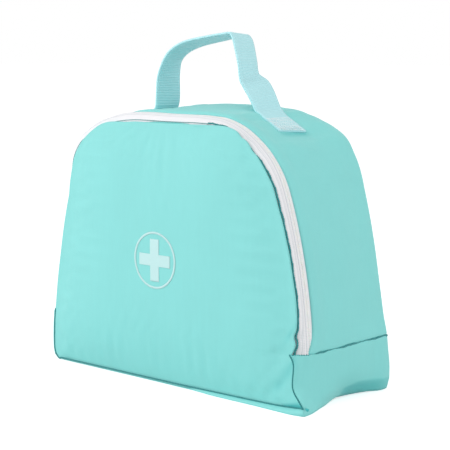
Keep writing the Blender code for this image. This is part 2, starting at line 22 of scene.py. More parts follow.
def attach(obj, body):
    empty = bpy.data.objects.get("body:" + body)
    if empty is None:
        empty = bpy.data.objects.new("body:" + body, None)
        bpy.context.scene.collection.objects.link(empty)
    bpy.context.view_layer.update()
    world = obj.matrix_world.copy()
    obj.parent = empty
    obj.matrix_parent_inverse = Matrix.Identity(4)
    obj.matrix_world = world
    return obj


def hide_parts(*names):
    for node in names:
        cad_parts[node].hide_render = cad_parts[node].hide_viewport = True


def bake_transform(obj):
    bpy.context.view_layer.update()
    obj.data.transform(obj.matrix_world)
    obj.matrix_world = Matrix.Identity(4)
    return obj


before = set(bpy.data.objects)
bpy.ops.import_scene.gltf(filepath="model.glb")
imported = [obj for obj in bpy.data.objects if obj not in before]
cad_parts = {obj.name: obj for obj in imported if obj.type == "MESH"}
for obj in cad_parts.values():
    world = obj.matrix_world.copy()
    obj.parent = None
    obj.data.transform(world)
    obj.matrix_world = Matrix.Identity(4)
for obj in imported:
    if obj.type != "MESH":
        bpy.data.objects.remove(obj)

LOG = logging.getLogger("toy_dentist_kit")
MM = 0.001
GAP = 0.0003
TINY = 1e-9
# Share of its box that a dome-shaped panel fills
DOME_SHARE = 0.88

Points = np.ndarray


class Side(Enum):
    """Which half of the bag a piece is on."""

    LEFT = -1
    RIGHT = 1


def smooth_through(knots: Sequence[float], values: Sequence, at: Points) -> Points:
    """Monotone cubic through given values, level beyond its ends.

    Args:
        knots: Rising places of the values.
        values: One number, or one row of numbers, for each knot.
        at: Places to read.

    Returns:
        The values at those places, with the values' own row length as the last axis.
    """
    x = np.asarray(knots, dtype=float)
    y = np.asarray(values, dtype=float)
    flat = y.ndim == 1
    y = y.reshape(len(x), -1)
    step = np.diff(x)[:, None]
    slope = np.diff(y, axis=0) / step
    before, after = slope[:-1], slope[1:]
    same = before * after > 0
    total = np.where(same, before + after, 1.0)
    inner = np.where(same, 2 * before * after / total, 0.0)
    tangent = np.vstack([slope[:1], inner, slope[-1:]])
    at = np.clip(np.asarray(at, dtype=float), x[0], x[-1])
    i = np.clip(np.searchsorted(x, at, side="right") - 1, 0, len(x) - 2)
    t = ((at - x[i]) / step[i, 0])[..., None]
    h = step[i]
    rise = (2 * t**3 - 3 * t**2 + 1) * y[i] + (t**3 - 2 * t**2 + t) * h * tangent[i]
    rise += (3 * t**2 - 2 * t**3) * y[i + 1] + (t**3 - t**2) * h * tangent[i + 1]
    return rise[..., 0] if flat else rise


def ease(value: Points, first: float, last: float) -> Points:
    """Smooth step from 0 at first to 1 at last."""
    t = np.clip((np.asarray(value, dtype=float) - first) / (last - first), 0.0, 1.0)
    return t * t * (3 - 2 * t)


def fade(value: Points, first: float, last: float) -> Points:
    """Smooth step from 1 at first to 0 at last."""
    return 1 - ease(value, first, last)


def bell(value: Points, middle: float, wide: float, power: int = 2) -> Points:
    """Bell of height 1 about a middle, flatter on top for a higher power."""
    return np.exp(-(((value - middle) / wide) ** power))


def facing(count: int, x: float, y: float, z: float = 0.0) -> Points:
    """One direction, once for each of a count of points."""
    return np.tile([x, y, z], (count, 1))


def spacing(first: float, last: float, step: float, edge: float = 0.0) -> Points:
    """Places from first to last, closer together near both ends.

    Args:
        first: First place.
        last: Last place.
        step: Spacing in the middle.
        edge: Depth of the zone at each end that is stepped finely, or 0 for none.

    Returns:
        The places, both ends included.
    """
    count = max(int(round((last - first - 2 * edge) / step)), 1)
    middle = np.linspace(first + edge, last - edge, count + 1)
    if edge == 0.0:
        return middle
    fine = edge * np.array([0.0, 0.18, 0.4, 0.68])
    return np.concatenate([first + fine, middle, (last - fine)[::-1]])


def run_lengths(points: Points) -> Points:
    """Length along a line of points, from 0 at the first."""
    return np.concatenate([[0.0], np.cumsum(np.linalg.norm(np.diff(points, axis=0), axis=1))])


def grid_normals(points: Points) -> Points:
    """Outward direction at each point of a grid whose front is outwards."""
    normal = np.cross(np.gradient(points, axis=1), np.gradient(points, axis=0))
    return normal / np.maximum(np.linalg.norm(normal, axis=-1, keepdims=True), TINY)


def wander(at: Points, *sines: tuple[float, float]) -> Points:
    """Sum of sines along a line, each with its height and how fast it turns."""
    return sum(height * np.sin(at * rate) for height, rate in sines)


def stretches(parts: Sequence[tuple[float, float, int]], last: float) -> Points:
    """Places along several stretches, each with its first and last place and its count, and a last place."""
    return np.concatenate([np.linspace(a, b, n, endpoint=False) for a, b, n in parts] + [[last]])


@dataclass(frozen=True)
class Mound:
    """Round or slanting mound on a panel: its middle, half length, half width, height and direction."""

    x: float
    z: float
    long: float
    wide: float
    height: float
    slope: tuple[float, float] = (1.0, 0.0)

    def at(self, x: Points, z: Points) -> Points:
        """Height of the mound at places on the panel."""
        run, rise = self.slope
        px, pz = x - self.x, z - self.z
        along, off = px * run + pz * rise, px * rise - pz * run
        return self.height * np.exp(-((along / self.long) ** 2) - (off / self.wide) ** 2)


@dataclass(frozen=True)
class Wave:
    """Soft waves on a face: their height, and both sines' rates along its two directions and offsets."""

    height: float
    first: tuple[float, float, float]
    second: tuple[float, float, float]

    def at(self, a: Points, b: Points) -> Points:
        """Height of the waves at places on the face."""
        one, two = (np.sin(a * p + b * q + r) for p, q, r in (self.first, self.second))
        return self.height * one * two


@dataclass(frozen=True)
class Walk:
    """Stations on the outline: place, outward normal and height of the crown there."""

    x: Points
    z: Points
    nx: Points
    nz: Points
    crown: Points


class ReliefMap:
    """Smooth surface of heights through a table, read at any place."""

    def __init__(self, columns: Sequence[float], rows: Sequence[tuple[float, Sequence[float]]]) -> None:
        """Refines the table.

        Args:
            columns: Rising places across, in millimetres.
            rows: Each row's place along and its heights across, in millimetres.
        """
        along = np.array([row[0] for row in rows]) * MM
        across = np.array(columns) * MM
        table = np.array([row[1] for row in rows]) * MM
        self.u = np.linspace(along[0], along[-1], 901)
        self.v = np.linspace(across[0], across[-1], 121)
        tall = smooth_through(along, table, self.u)
        self.heights = smooth_through(across, tall.T, self.v).T

    def read(self, along: Points, across: Points) -> Points:
        """Heights at places along and across, level beyond the table."""
        along, across = np.broadcast_arrays(along, across)
        a = np.clip((along - self.u[0]) / (self.u[1] - self.u[0]), 0, len(self.u) - 1.001)
        b = np.clip((across - self.v[0]) / (self.v[1] - self.v[0]), 0, len(self.v) - 1.001)
        i, j = a.astype(int), b.astype(int)
        a, b = a - i, b - j
        low = self.heights[i, j] * (1 - b) + self.heights[i, j + 1] * b
        high = self.heights[i + 1, j] * (1 - b) + self.heights[i + 1, j + 1] * b
        return low * (1 - a) + high * a


# How the soft bag departs from the crowned outline, by depth (columns) and length along the outline (rows)
SETTLING = ReliefMap(
    (-47, -40, -36, -31, -15, 0, 15, 30, 40, 47),
    (
        (-224, (0, 0, 0, 0, 0, 0, 0, 0, 0, 0)),
        (-170, (0, -1.5, -1, -0.5, 0, 0, 0, 0, 0, 0)),
        (-125, (0, 1.5, 2, 2, 1.5, 1, 1, 1, 1, 1)),
        (-105, (0, 7, 8, 7.5, 5, 3.5, 3, 3, 3, 3)),
        (-94, (0, 8, 9, 8.5, 6, 4, 3.5, 3.5, 3.5, 3.5)),
        (-84, (0, 6, 7, 7, 5, 3.5, 3, 3.5, 4, 4)),
        (-75, (0, 4.3, 5, 3.8, 0.5, 0.5, 1.5, 3, 4, 4)),
        (-62, (0, 2.4, 2.0, 0.6, -2.6, -2.4, -1, 1.0, 3.5, 4)),
        (-48, (0, 1.8, 1.0, -0.4, -4.2, -3.8, -1.6, 1.0, 3.5, 4)),
        (-39, (0, 2.2, 1.4, 0.7, -2.0, -1.8, 0.4, 3, 5, 5)),
        (-22, (0, 2.4, 1.6, 1.0, 0.0, 0.5, 1.9, 3.9, 5.4, 5)),
        (0, (0, 2.0, 1.2, 0.6, 0.3, 1.2, 2.6, 4.8, 6.4, 5.8)),
        (25, (0, 2.0, 1.2, 0.6, 0.3, 1.0, 2.4, 4.5, 6, 5.5)),
        (40, (0, 1.0, 0.5, 0, -0.5, -0.5, 0.2, 2.5, 4.5, 4.5)),
        (47, (0, 0.8, 0.3, -0.4, -1.2, -2.2, -1.6, 1.5, 4, 4.2)),
        (54, (0, 0.3, -0.2, -1.0, -3.4, -4.8, -4.2, 0, 3.4, 4)),
        (64, (0, 0, -0.6, -1.4, -4.0, -5.3, -4.9, -0.5, 3.2, 4)),
        (75, (0, -0.5, -1, -1.8, -3.6, -4.8, -4.4, 0, 4, 5.2)),
        (86, (0, -0.3, -0.8, -1.4, -2, -2, -1.5, 1.5, 5, 6.2)),
        (98, (0, 0, -0.5, -0.8, -1, -0.8, -0.3, 1.2, 3.2, 4.2)),
        (126, (0, 0, 0, 0, 0, 0, 0, 0.4, 1.1, 1.4)),
        (180, (0, 0, 0, 0, 0, 0, 0, 0, 0.2, 0.2)),
        (207, (0, 0, 0, 0, 0, 0, 0, 0.3, 0.9, 1.5)),
        (224, (0, 0, 0, 0, 0, 0, 0.5, 1.5, 3, 4.2)),
    ),
)


@dataclass(frozen=True)
class BagForm:
    """The bag's outline and crowns, and what the soft bag does with them."""

    depth: float = 0.094
    seam_half_width: float = 0.119
    seam_height: float = 0.038
    side_lean: float = radians(2.6)
    side_arc_radius: float = 0.375
    side_arc_turn: float = radians(16.3)
    shoulder_radius: float = 0.063
    side_crown: float = 0.0035
    top_crown: float = 0.008
    front_crown: float = 0.006
    back_crown: float = 0.004
    shell_thick: float = 0.0018
    tape_show: float = 0.0088

    @property
    def half(self) -> float:
        """Half the depth, at the seams."""
        return self.depth / 2

    @property
    def ring_end(self) -> float:
        """Depth at which the bands between the panels end."""
        return self.half - self.shell_thick - GAP

    @property
    def zip_line(self) -> float:
        """Depth of the line where the zip's two tapes meet."""
        return -self.ring_end + self.tape_show + GAP / 2

    @property
    def shoulder_start(self) -> float:
        """Angle at which the shoulder arc begins."""
        return self.side_lean + self.side_arc_turn

    @property
    def side_centre(self) -> tuple[float, float]:
        """Centre of the right side arc."""
        x = self.seam_half_width - self.side_arc_radius * cos(self.side_lean)
        return x, self.seam_height - self.side_arc_radius * sin(self.side_lean)

    @property
    def shoulder_centre(self) -> tuple[float, float]:
        """Centre of the right shoulder arc."""
        reach = self.side_arc_radius - self.shoulder_radius
        x, z = self.side_centre
        return x + reach * cos(self.shoulder_start), z + reach * sin(self.shoulder_start)

    @property
    def top_half(self) -> float:
        """Half length of the flat top."""
        return self.shoulder_centre[0]

    @property
    def top_height(self) -> float:
        """Height of the flat top's seam."""
        return self.shoulder_centre[1] + self.shoulder_radius

    @property
    def shoulder_end(self) -> float:
        """Length of the outline from the middle of the top to the foot of the shoulder."""
        return self.top_half + self.shoulder_radius * (pi / 2 - self.shoulder_start)

    @property
    def upper(self) -> float:
        """Length of the outline from the middle of the top to the base seam."""
        return self.shoulder_end + self.side_arc_radius * self.side_arc_turn

    def walk(self, length: Points) -> Walk:
        """Stations at signed lengths along the outline from the middle of the top.

        Args:
            length: Lengths, positive to the right.

        Returns:
            The stations.
        """
        length = np.asarray(length, dtype=float)
        side = np.where(length < 0, -1.0, 1.0)
        run = np.abs(length)
        shoulder = pi / 2 - (run - self.top_half) / self.shoulder_radius
        flank = self.shoulder_start - (run - self.shoulder_end) / self.side_arc_radius
        on_top = run <= self.top_half
        on_shoulder = run <= self.shoulder_end
        angle = np.where(on_top, pi / 2, np.where(on_shoulder, shoulder, flank))
        centre_x = np.where(on_shoulder, self.shoulder_centre[0], self.side_centre[0])
        centre_z = np.where(on_shoulder, self.shoulder_centre[1], self.side_centre[1])
        radius = np.where(on_shoulder, self.shoulder_radius, self.side_arc_radius)
        x = np.where(on_top, run, centre_x + radius * np.cos(angle))
        z = centre_z + radius * np.sin(angle)
        turn = np.clip((angle - self.shoulder_start) / (pi / 2 - self.shoulder_start), 0.0, 1.0)
        crown = self.side_crown + (self.top_crown - self.side_crown) * np.sin(turn * pi / 2) ** 2
        return Walk(x * side, z, np.cos(angle) * side, np.sin(angle), crown)

    def outward(self, length: Points) -> Points:
        """Outward directions at lengths along the outline."""
        station = self.walk(length)
        return np.stack([station.nx, np.zeros(len(length)), station.nz], axis=-1)

    def seam_shift(self, length: Points) -> Points:
        """How far the front seam stands outside the plain outline, by length along it."""
        knots = np.array([
            -224, -218, -200, -173, -134, -123, -116, -100, -91.6, -83.5, -72.4, -61.8, -47, -28, 0, 40, 48,
            55, 61, 66, 69.5, 73, 77.5, 81, 85, 90, 95, 105, 114, 126, 135, 148, 159, 172, 186, 197, 207,
            212, 217, 220, 224,
        ]) * MM
        values = np.array([
            -0.3, -0.9, -1.8, -2.8, -2.8, -1.2, -0.5, 1.6, 1.4, 0.2, -0.9, -1.1, -1.5, -0.5, -0.6, -0.2, 0,
            0.4, 0, -0.4, -1.4, -3.0, -1.6, -2.0, -3.0, -1.9, -1.6, -0.8, 0, 0.1, 0.7, 1.0, 1.4, 1.3, 1.7,
            1.4, 0, -2.4, -1.4, -2.6, -5.2,
        ]) * MM
        return smooth_through(knots, values, length)

    def hem_depth(self, length: Points) -> Points:
        """Depth of the gusset's hem along the rear of the zip, by length along the outline."""
        knots = np.array([-224, -60, 0, 28, 43, 56, 76, 97, 109, 122, 150, 205, 212, 216, 220, 224.4]) * MM
        values = np.array([
            -30.5, -32.2, -32.6, -31.6, -32.2, -32.6, -32.6, -32.6, -32.4, -32.3, -32.0, -31.9, -32.5, -33.5,
            -35.0, -37.2,
        ]) * MM
        return smooth_through(knots, values, length)

    def band(self, length: Points, y: Points, lift: Points | float = 0.0) -> Points:
        """Points of the upper band.

        Args:
            length: Lengths along the outline.
            y: Depths.
            lift: Height above the cloth's outer face.

        Returns:
            The points, one row of three for each pair.
        """
        at = self.walk(length)
        near = fade(y, -self.half, -0.038)
        out = at.crown * (1 - (y / self.half) ** 2) + lift + self.seam_shift(length) * near
        out = out + SETTLING.read(length, y)
        return np.stack(np.broadcast_arrays(at.x + at.nx * out, y, at.z + at.nz * out), axis=-1)

    def base_profile(self, side: Side, share: Points, y: Points) -> Points:
        """Side of the base, from its seam down and in to the flat bottom.

        Args:
            side: Which side of the bag.
            share: Way down the side, from the seam (0), round its lowest edge (0.7), to the flat (1).
            y: Depths.

        Returns:
            The points' x and z.
        """
        shares = (0.0, 0.2, 0.42, 0.6, 0.7, 0.86, 1.0)
        if side is Side.RIGHT:
            depths = np.array([-47, -44.4, -36, -24, 0, 12, 30, 39, 47]) * MM
            rows = (
                ((113.5, 38.5), (116.7, 32), (116.2, 17), (121.0, 9.2), (125.8, 3.4), (118, 0.6), (105, 0.1)),
                ((115.6, 38), (117.6, 31), (118.0, 17), (122.0, 8.6), (126.6, 0.2), (118, 0.1), (105, 0)),
                ((119.2, 38), (120.0, 30), (120.6, 17.5), (121.8, 8.4), (124.6, 0.3), (116, 0.1), (105, 0)),
                ((120.9, 38), (121.6, 29), (121.9, 18), (122.0, 8.5), (120.9, 0.6), (114, 0.2), (105, 0)),
                ((122.4, 38), (122.6, 29), (122.2, 18), (119.6, 9.5), (116.2, 3.2), (111, 0.8), (105, 0)),
                ((122.2, 38), (122.9, 29), (122.9, 18), (121.6, 11.0), (117.6, 4.9), (113, 0.9), (105, 0)),
                ((121.8, 38), (122.8, 29), (123.6, 18), (123.4, 9.6), (119.6, 2.0), (115, 0.3), (105, 0)),
                ((122.4, 38), (123.8, 29), (125.0, 18), (125.6, 8.6), (122.8, 1.0), (116, 0.2), (105, 0)),
                ((122.8, 38), (124.2, 29), (125.6, 18), (125.6, 8.2), (123.8, 1.2), (116, 0.2), (105, 0)),
            )
        else:
            depths = np.array([-47, 0, 47]) * MM
            rows = (
                ((119.0, 38), (119.8, 28), (120.3, 17), (120.2, 8.0), (119.0, 3.8), (114.5, 1.0), (105, 0)),
                ((122.3, 38), (122.8, 28), (122.6, 17), (121.6, 8.4), (119.4, 3.4), (114.0, 0.6), (105, 0)),
                ((119.0, 38), (119.8, 28), (120.0, 17), (119.6, 8.0), (118.0, 3.6), (114.0, 0.8), (105, 0)),
            )
        table = np.array(rows) * MM
        shape = np.broadcast(share, y).shape
        share = np.broadcast_to(share, shape)
        y = np.broadcast_to(y, shape)
        by_depth = smooth_through(depths, table.reshape(len(depths), -1), y).reshape(*shape, len(shares), 2)
        knots = np.array(shares)
        i = np.clip(np.searchsorted(knots, share, side="right") - 1, 0, len(knots) - 2)
        t = (share - knots[i]) / (knots[i + 1] - knots[i])
        here = np.take_along_axis(by_depth, i[..., None, None], axis=-2)[..., 0, :]
        there = np.take_along_axis(by_depth, i[..., None, None] + 1, axis=-2)[..., 0, :]
        before = np.take_along_axis(by_depth, np.maximum(i - 1, 0)[..., None, None], axis=-2)[..., 0, :]
        last = len(knots) - 1
        beyond = np.take_along_axis(by_depth, np.minimum(i + 2, last)[..., None, None], axis=-2)[..., 0, :]
        for painted_shade in (3, 4):
            before = np.where((i == painted_shade)[..., None], here, before)
            beyond = np.where((i == painted_shade - 1)[..., None], there, beyond)
        t = t[..., None]
        start = (there - before) * 0.5
        end = (beyond - here) * 0.5
        point = (2 * t**3 - 3 * t**2 + 1) * here + (t**3 - 2 * t**2 + t) * start
        point = point + (3 * t**2 - 2 * t**3) * there + (t**3 - t**2) * end
        seam = self.band(np.full(shape, side.value * self.upper), y)
        top = by_depth[..., 0, :]
        blend = fade(share, 0.0, 0.25)
        point[..., 0] += (seam[..., 0] * side.value - top[..., 0]) * blend
        point[..., 1] += (seam[..., 2] - top[..., 1]) * blend
        point[..., 0] *= side.value
        return point

    def bottom_lift(self, x: Points) -> Points:
        """Height of the front cloth's lower seam above the floor."""
        knots = np.array([-109, 20, 60, 100, 126]) * MM
        return smooth_through(knots, np.array([0.3, 0.8, 1.2, 1.9, 3.4]) * MM, x)

    def bottom_bulge(self, x: Points) -> Points:
        """How far the base swells forwards under that seam."""
        knots = np.array([-109, -60, 20, 50, 85, 117, 127]) * MM
        return smooth_through(knots, np.array([0.3, 0.6, 1.2, 4.2, 4.4, 5.6, 4.0]) * MM, x)

    def base(self, share: Points, y: Points, bulged: bool = True) -> Points:
        """Points of the base band.

        Args:
            share: Way round the base: -2 is the left seam, -1 and 1 the ends of the flat, 2 the right seam.
            y: Depths.
            bulged: Whether it swells forwards under the front cloth.

        Returns:
            The points.
        """
        share, y = np.broadcast_arrays(share, y)
        down = np.clip(2 - np.abs(share), 0.0, 1.0)
        right = self.base_profile(Side.RIGHT, down, y)
        left = self.base_profile(Side.LEFT, down, y)
        flat = np.clip((share + 1) / 2, 0.0, 1.0)[..., None]
        point = left * (1 - flat) + right * flat
        x, z = point[..., 0], point[..., 1]
        under = np.where(share > 0, ease(down, 0.655, 0.7), ease(down, 0.78, 0.9))
        run = (y + self.half) / 0.008
        z = z + under * np.clip(1 - run / 0.3, 0.0, 1.0) * (self.bottom_lift(x) - z)
        bulge = smooth_through((0.0, 0.15, 0.32, 0.6, 1.0), (0.0, 0.75, 1.0, 0.45, 0.0), run) * bulged
        return np.stack((x, y - self.bottom_bulge(x) * under * bulge, np.maximum(z, 0.0)), axis=-1)

    def outside(self, points: Points, rise: float) -> Points:
        """Points moved out of the band, to at least a rise above its cloth.

        Args:
            points: Places near the upper band.
            rise: Least height above the cloth.

        Returns:
            The places.
        """
        x, y, z = points[..., 0], points[..., 1], points[..., 2]
        centre_x, centre_z = self.shoulder_centre
        turn = np.clip(np.arctan2(np.abs(x) - centre_x, z - centre_z), 0.0, pi / 2 - self.shoulder_start)
        run = np.where(np.abs(x) < centre_x, np.abs(x), centre_x + self.shoulder_radius * turn)
        length = run * np.sign(x)
        skin = self.band(length, y, rise)
        at = self.walk(length)
        below = (skin[..., 0] - x) * at.nx + (skin[..., 2] - z) * at.nz
        push = 0.5 * (below + np.sqrt(below**2 + 0.0008**2))
        return points + np.stack((at.nx * push, np.zeros_like(push), at.nz * push), axis=-1)

    def swell(self, share: Points, z: Points) -> Points:
        """How far a panel has swollen, from 0 at its seams to 1 in its middle."""
        across = 1 - np.abs(share) ** 4
        up = 1 - np.abs(2 * z / self.top_height - 1) ** 4
        return across * np.maximum(up, 0.0)


FORM = BagForm()


EVEN = (1.0, 1.0, 1.0)


class Grain(Enum):
    """Noises, each with its scale per metre, its detail and how it is stretched along x, y and z."""

    SLUB = (420.0, 3.0, (1.0, 1.0, 0.12))
    PATCH = (26.0, 2.0, EVEN)
    CRUMPLE = (45.0, 3.0, EVEN)
    CRINKLE = (260.0, 2.0, EVEN)
    WEB_TONE = (180.0, 3.0, EVEN)
    WEB_FUZZ = (500.0, 2.0, EVEN)
    TAPE_TONE = (90.0, 2.0, EVEN)
    TAPE_SWELL = (120.0, 2.0, EVEN)
    FLOW = (38.0, 3.0, (1.0, 1.0, 0.3))
    PLASTIC = (1400.0, 2.0, EVEN)
    PLASTIC_SWELL = (160.0, 2.0, EVEN)
    SCRATCH = (900.0, 4.0, (0.15, 1.0, 1.0))
    METAL_WEAR = (140.0, 3.0, EVEN)
    INK_WEAR = (240.0, 4.0, EVEN)
    INK_WEAVE = (900.0, 2.0, EVEN)
    TWIST = (2200.0, 2.0, EVEN)
    FLOOR = (3.0, 2.0, EVEN)


class NodeSheet:
    """Short way to write the node tree of one material."""

    def __init__(self, name: str) -> None:
        """Starts a material with a Principled shader.

        Args:
            name: The material's name.
        """
        self.material = bpy.data.materials.new(name)
        self.material.use_nodes = True
        self.tree = self.material.node_tree
        self.shader = self.tree.nodes["Principled BSDF"]

    @classmethod
    def on(cls, tree: bpy.types.NodeTree) -> "NodeSheet":
        """Sheet that writes on a tree that is there already."""
        sheet = cls.__new__(cls)
        sheet.tree = tree
        return sheet

    def add(self, kind: str, **settings: object) -> bpy.types.Node:
        """New node with its settings."""
        node = self.tree.nodes.new(kind)
        for key, value in settings.items():
            setattr(node, key, value)
        return node

    def feed(self, socket: bpy.types.NodeSocket, value: object) -> None:
        """Links a socket to another, or sets it to a plain value."""
        if isinstance(value, bpy.types.NodeSocket):
            self.tree.links.new(value, socket)
        else:
            socket.default_value = value

    def make(
        self, kind: str, feeds: dict, result: int | str = 0, **settings: object
    ) -> bpy.types.NodeSocket:
        """One output of a new node.

        Args:
            kind: The node's type.
            feeds: What goes into its inputs, by name or number.
            result: Which output is wanted, by name or number.
            settings: The node's own settings.

        Returns:
            The output.
        """
        node = self.add(kind, **settings)
        for key, value in feeds.items():
            self.feed(node.inputs[key], value)
        return node.outputs[result]

    def maths(self, operation: str, *values: object) -> bpy.types.NodeSocket:
        """Result of a Math node."""
        return self.make("ShaderNodeMath", dict(enumerate(values)), operation=operation)

    def place(self) -> bpy.types.NodeSocket:
        """The object's own coordinates, in metres."""
        return self.add("ShaderNodeTexCoord").outputs["Object"]

    def flat(self) -> tuple[bpy.types.NodeSocket, bpy.types.NodeSocket]:
        """The cloth's own coordinates, in metres: along it and across it."""
        split = self.add("ShaderNodeSeparateXYZ")
        self.feed(split.inputs[0], self.make("ShaderNodeUVMap", {}, uv_map="flat"))
        return split.outputs[0], split.outputs[1]

    def noise(self, grain: Grain) -> bpy.types.NodeSocket:
        """Noise on the object's own coordinates, from 0 to 1."""
        scale, detail, stretch = grain.value
        place = self.make("ShaderNodeMapping", {"Scale": stretch, 0: self.place()})
        return self.make("ShaderNodeTexNoise", {"Scale": scale, "Detail": detail, "Vector": place}, "Fac")

    def wave(self, along: bpy.types.NodeSocket, pitch: float) -> bpy.types.NodeSocket:
        """Sine of a coordinate with this pitch."""
        return self.maths("SINE", self.maths("MULTIPLY", along, 2 * pi / pitch))

    def blend(self, share: object, first: object, second: tuple) -> bpy.types.NodeSocket:
        """Mix of a colour or a socket, first, and a colour."""
        node = self.add("ShaderNodeMix", data_type="RGBA")
        self.feed(node.inputs["Factor"], share)
        self.feed(node.inputs["A"], (*first, 1.0) if isinstance(first, tuple) else first)
        node.inputs["B"].default_value = (*second, 1.0)
        return node.outputs["Result"]

    def bump(self, layers: Sequence[tuple[bpy.types.NodeSocket, float, float]]) -> None:
        """Bump from several heights, each with its depth in metres and its strength."""
        normal = None
        for height, depth, strength in layers:
            node = self.add("ShaderNodeBump")
            node.inputs["Strength"].default_value = strength
            node.inputs["Distance"].default_value = depth
            self.feed(node.inputs["Height"], height)
            if normal is not None:
                self.feed(node.inputs["Normal"], normal)
            normal = node.outputs[0]
        self.feed(self.shader.inputs["Normal"], normal)

    def set(self, **values: object) -> None:
        """Feeds the shader's own sockets, named with underscores for spaces."""
        for key, value in values.items():
            self.feed(self.shader.inputs[key.replace("_", " ")], value)


def shade(colour: tuple, share: float) -> tuple:
    """A colour made lighter or darker by a share."""
    return tuple(min(max(part * share, 0.0), 1.0) for part in colour)


@dataclass(frozen=True)
class WovenCloth:
    """Plain-woven polyester, soft and slightly hazy."""

    name: str
    colour: tuple
    # Colour of the painted shade in folds and along seams
    deep: tuple
    thread: float = 0.00045
    roughness: float = 0.62
    sheen: float = 0.12
    crinkle: float = 0.35

    def material(self) -> bpy.types.Material:
        """The cloth's material."""
        sheet = NodeSheet(self.name)
        u, v = sheet.flat()
        over = sheet.wave(u, 2 * self.thread)
        under = sheet.wave(v, 2 * self.thread)
        crossing = sheet.maths("GREATER_THAN", sheet.maths("MULTIPLY", over, under), 0.0)
        first = sheet.maths("MULTIPLY", sheet.maths("ABSOLUTE", over), crossing)
        beside = sheet.maths("SUBTRACT", 1.0, crossing)
        second = sheet.maths("MULTIPLY", sheet.maths("ABSOLUTE", under), beside)
        weave = sheet.maths("ADD", first, second)
        slub = sheet.noise(Grain.SLUB)
        patch = sheet.noise(Grain.PATCH)
        mix = sheet.maths("ADD", sheet.maths("MULTIPLY", slub, 0.35), sheet.maths("MULTIPLY", patch, 0.65))
        colour = sheet.blend(mix, shade(self.colour, 0.95), shade(self.colour, 1.05))
        # Painted shade: the cloth is drawn darker, towards that colour, where its point attribute says, in
        # folds and along seams
        painted_shade_share = sheet.add("ShaderNodeAttribute", attribute_name="painted_shade").outputs["Fac"]
        shaded_colour = sheet.blend(sheet.maths("MINIMUM", painted_shade_share, 1.0), colour, self.deep)
        rough = sheet.maths("MULTIPLY_ADD", weave, -0.08, self.roughness + 0.04)
        sheet.set(Base_Color=shaded_colour, Roughness=rough, Sheen_Weight=self.sheen, Sheen_Roughness=0.45)
        sheet.bump([
            (sheet.noise(Grain.CRUMPLE), 0.0012, self.crinkle * 0.5),
            (sheet.noise(Grain.CRINKLE), 0.0003, self.crinkle * 0.4),
            (weave, 0.00010, 0.35),
        ])
        return sheet.material


@dataclass(frozen=True)
class RibbedWeb:
    """Woven webbing with ribs across it and a firm edge."""

    name: str
    colour: tuple
    rib: float = 0.0019
    half_width: float = 0.0125
    roughness: float = 0.62

    def material(self) -> bpy.types.Material:
        """The webbing's material."""
        sheet = NodeSheet(self.name)
        u, v = sheet.flat()
        rib = sheet.maths("MULTIPLY_ADD", sheet.wave(u, self.rib), 0.5, 0.5)
        yarn = sheet.maths("MULTIPLY_ADD", sheet.wave(v, 0.0009), 0.5, 0.5)
        edge = sheet.maths("GREATER_THAN", sheet.maths("ABSOLUTE", v), self.half_width - 0.0016)
        body = sheet.maths("SUBTRACT", 1.0, edge)
        rim = sheet.maths("MULTIPLY", edge, 0.9)
        height = sheet.maths("MULTIPLY_ADD", sheet.maths("MULTIPLY", rib, yarn), body, rim)
        # Colour follows the relief: painted shade in the rib valleys and a lighter raised edge, mixed with
        # random tone
        relief_shade = sheet.maths("MULTIPLY", height, 0.6)
        tone_and_shade = sheet.maths("MULTIPLY_ADD", sheet.noise(Grain.WEB_TONE), 0.4, relief_shade)
        colour = sheet.blend(tone_and_shade, shade(self.colour, 0.92), shade(self.colour, 1.05))
        sheet.set(Base_Color=colour, Roughness=self.roughness, Sheen_Weight=0.2, Sheen_Roughness=0.4)
        fuzz = sheet.noise(Grain.WEB_FUZZ)
        sheet.bump([(rib, 0.0005, 0.42), (height, 0.0002, 0.5), (fuzz, 0.0002, 0.2)])
        return sheet.material


@dataclass(frozen=True)
class ZipTape:
    """Dense herringbone tape of a zip."""

    name: str
    colour: tuple
    # Painted shade lines along the tape, each with its place across, half width and darkness
    shade_lines: tuple = ()
    roughness: float = 0.6

    def material(self) -> bpy.types.Material:
        """The tape's material."""
        sheet = NodeSheet(self.name)
        u, v = sheet.flat()
        cord = sheet.maths("MULTIPLY_ADD", sheet.wave(v, 0.0011), 0.5, 0.5)
        slant = sheet.maths("ADD", u, sheet.maths("PINGPONG", v, 0.0011))
        bone = sheet.maths("MULTIPLY_ADD", sheet.wave(slant, 0.0007), 0.5, 0.5)
        mottle = sheet.maths("MULTIPLY", sheet.noise(Grain.TAPE_TONE), 0.55)
        # Colour partly follows the cords' relief, painted shade between them, and partly random mottle
        tone_and_shade = sheet.maths("MULTIPLY_ADD", cord, 0.45, mottle)
        warm = (self.colour[0], self.colour[1] * 0.975, self.colour[2] * 0.985)
        colour = sheet.blend(tone_and_shade, shade(warm, 0.96), self.colour)
        # Painted shade: darker lines drawn beside the ridges and at the sewn edge
        for place, wide, depth in self.shade_lines:
            away = sheet.maths("DIVIDE", sheet.maths("ABSOLUTE", sheet.maths("SUBTRACT", u, place)), wide)
            near = sheet.maths("SUBTRACT", 1.0, sheet.maths("MINIMUM", away, 1.0))
            colour = sheet.blend(sheet.maths("MULTIPLY", near, depth), colour, Dye.GROOVE_SHADE.value)
        sheet.set(Base_Color=colour, Roughness=self.roughness, Sheen_Weight=0.15, Sheen_Roughness=0.4)
        swell = sheet.noise(Grain.TAPE_SWELL)
        sheet.bump([(swell, 0.0004, 0.2), (cord, 0.00025, 0.5), (bone, 0.0001, 0.4)])
        return sheet.material


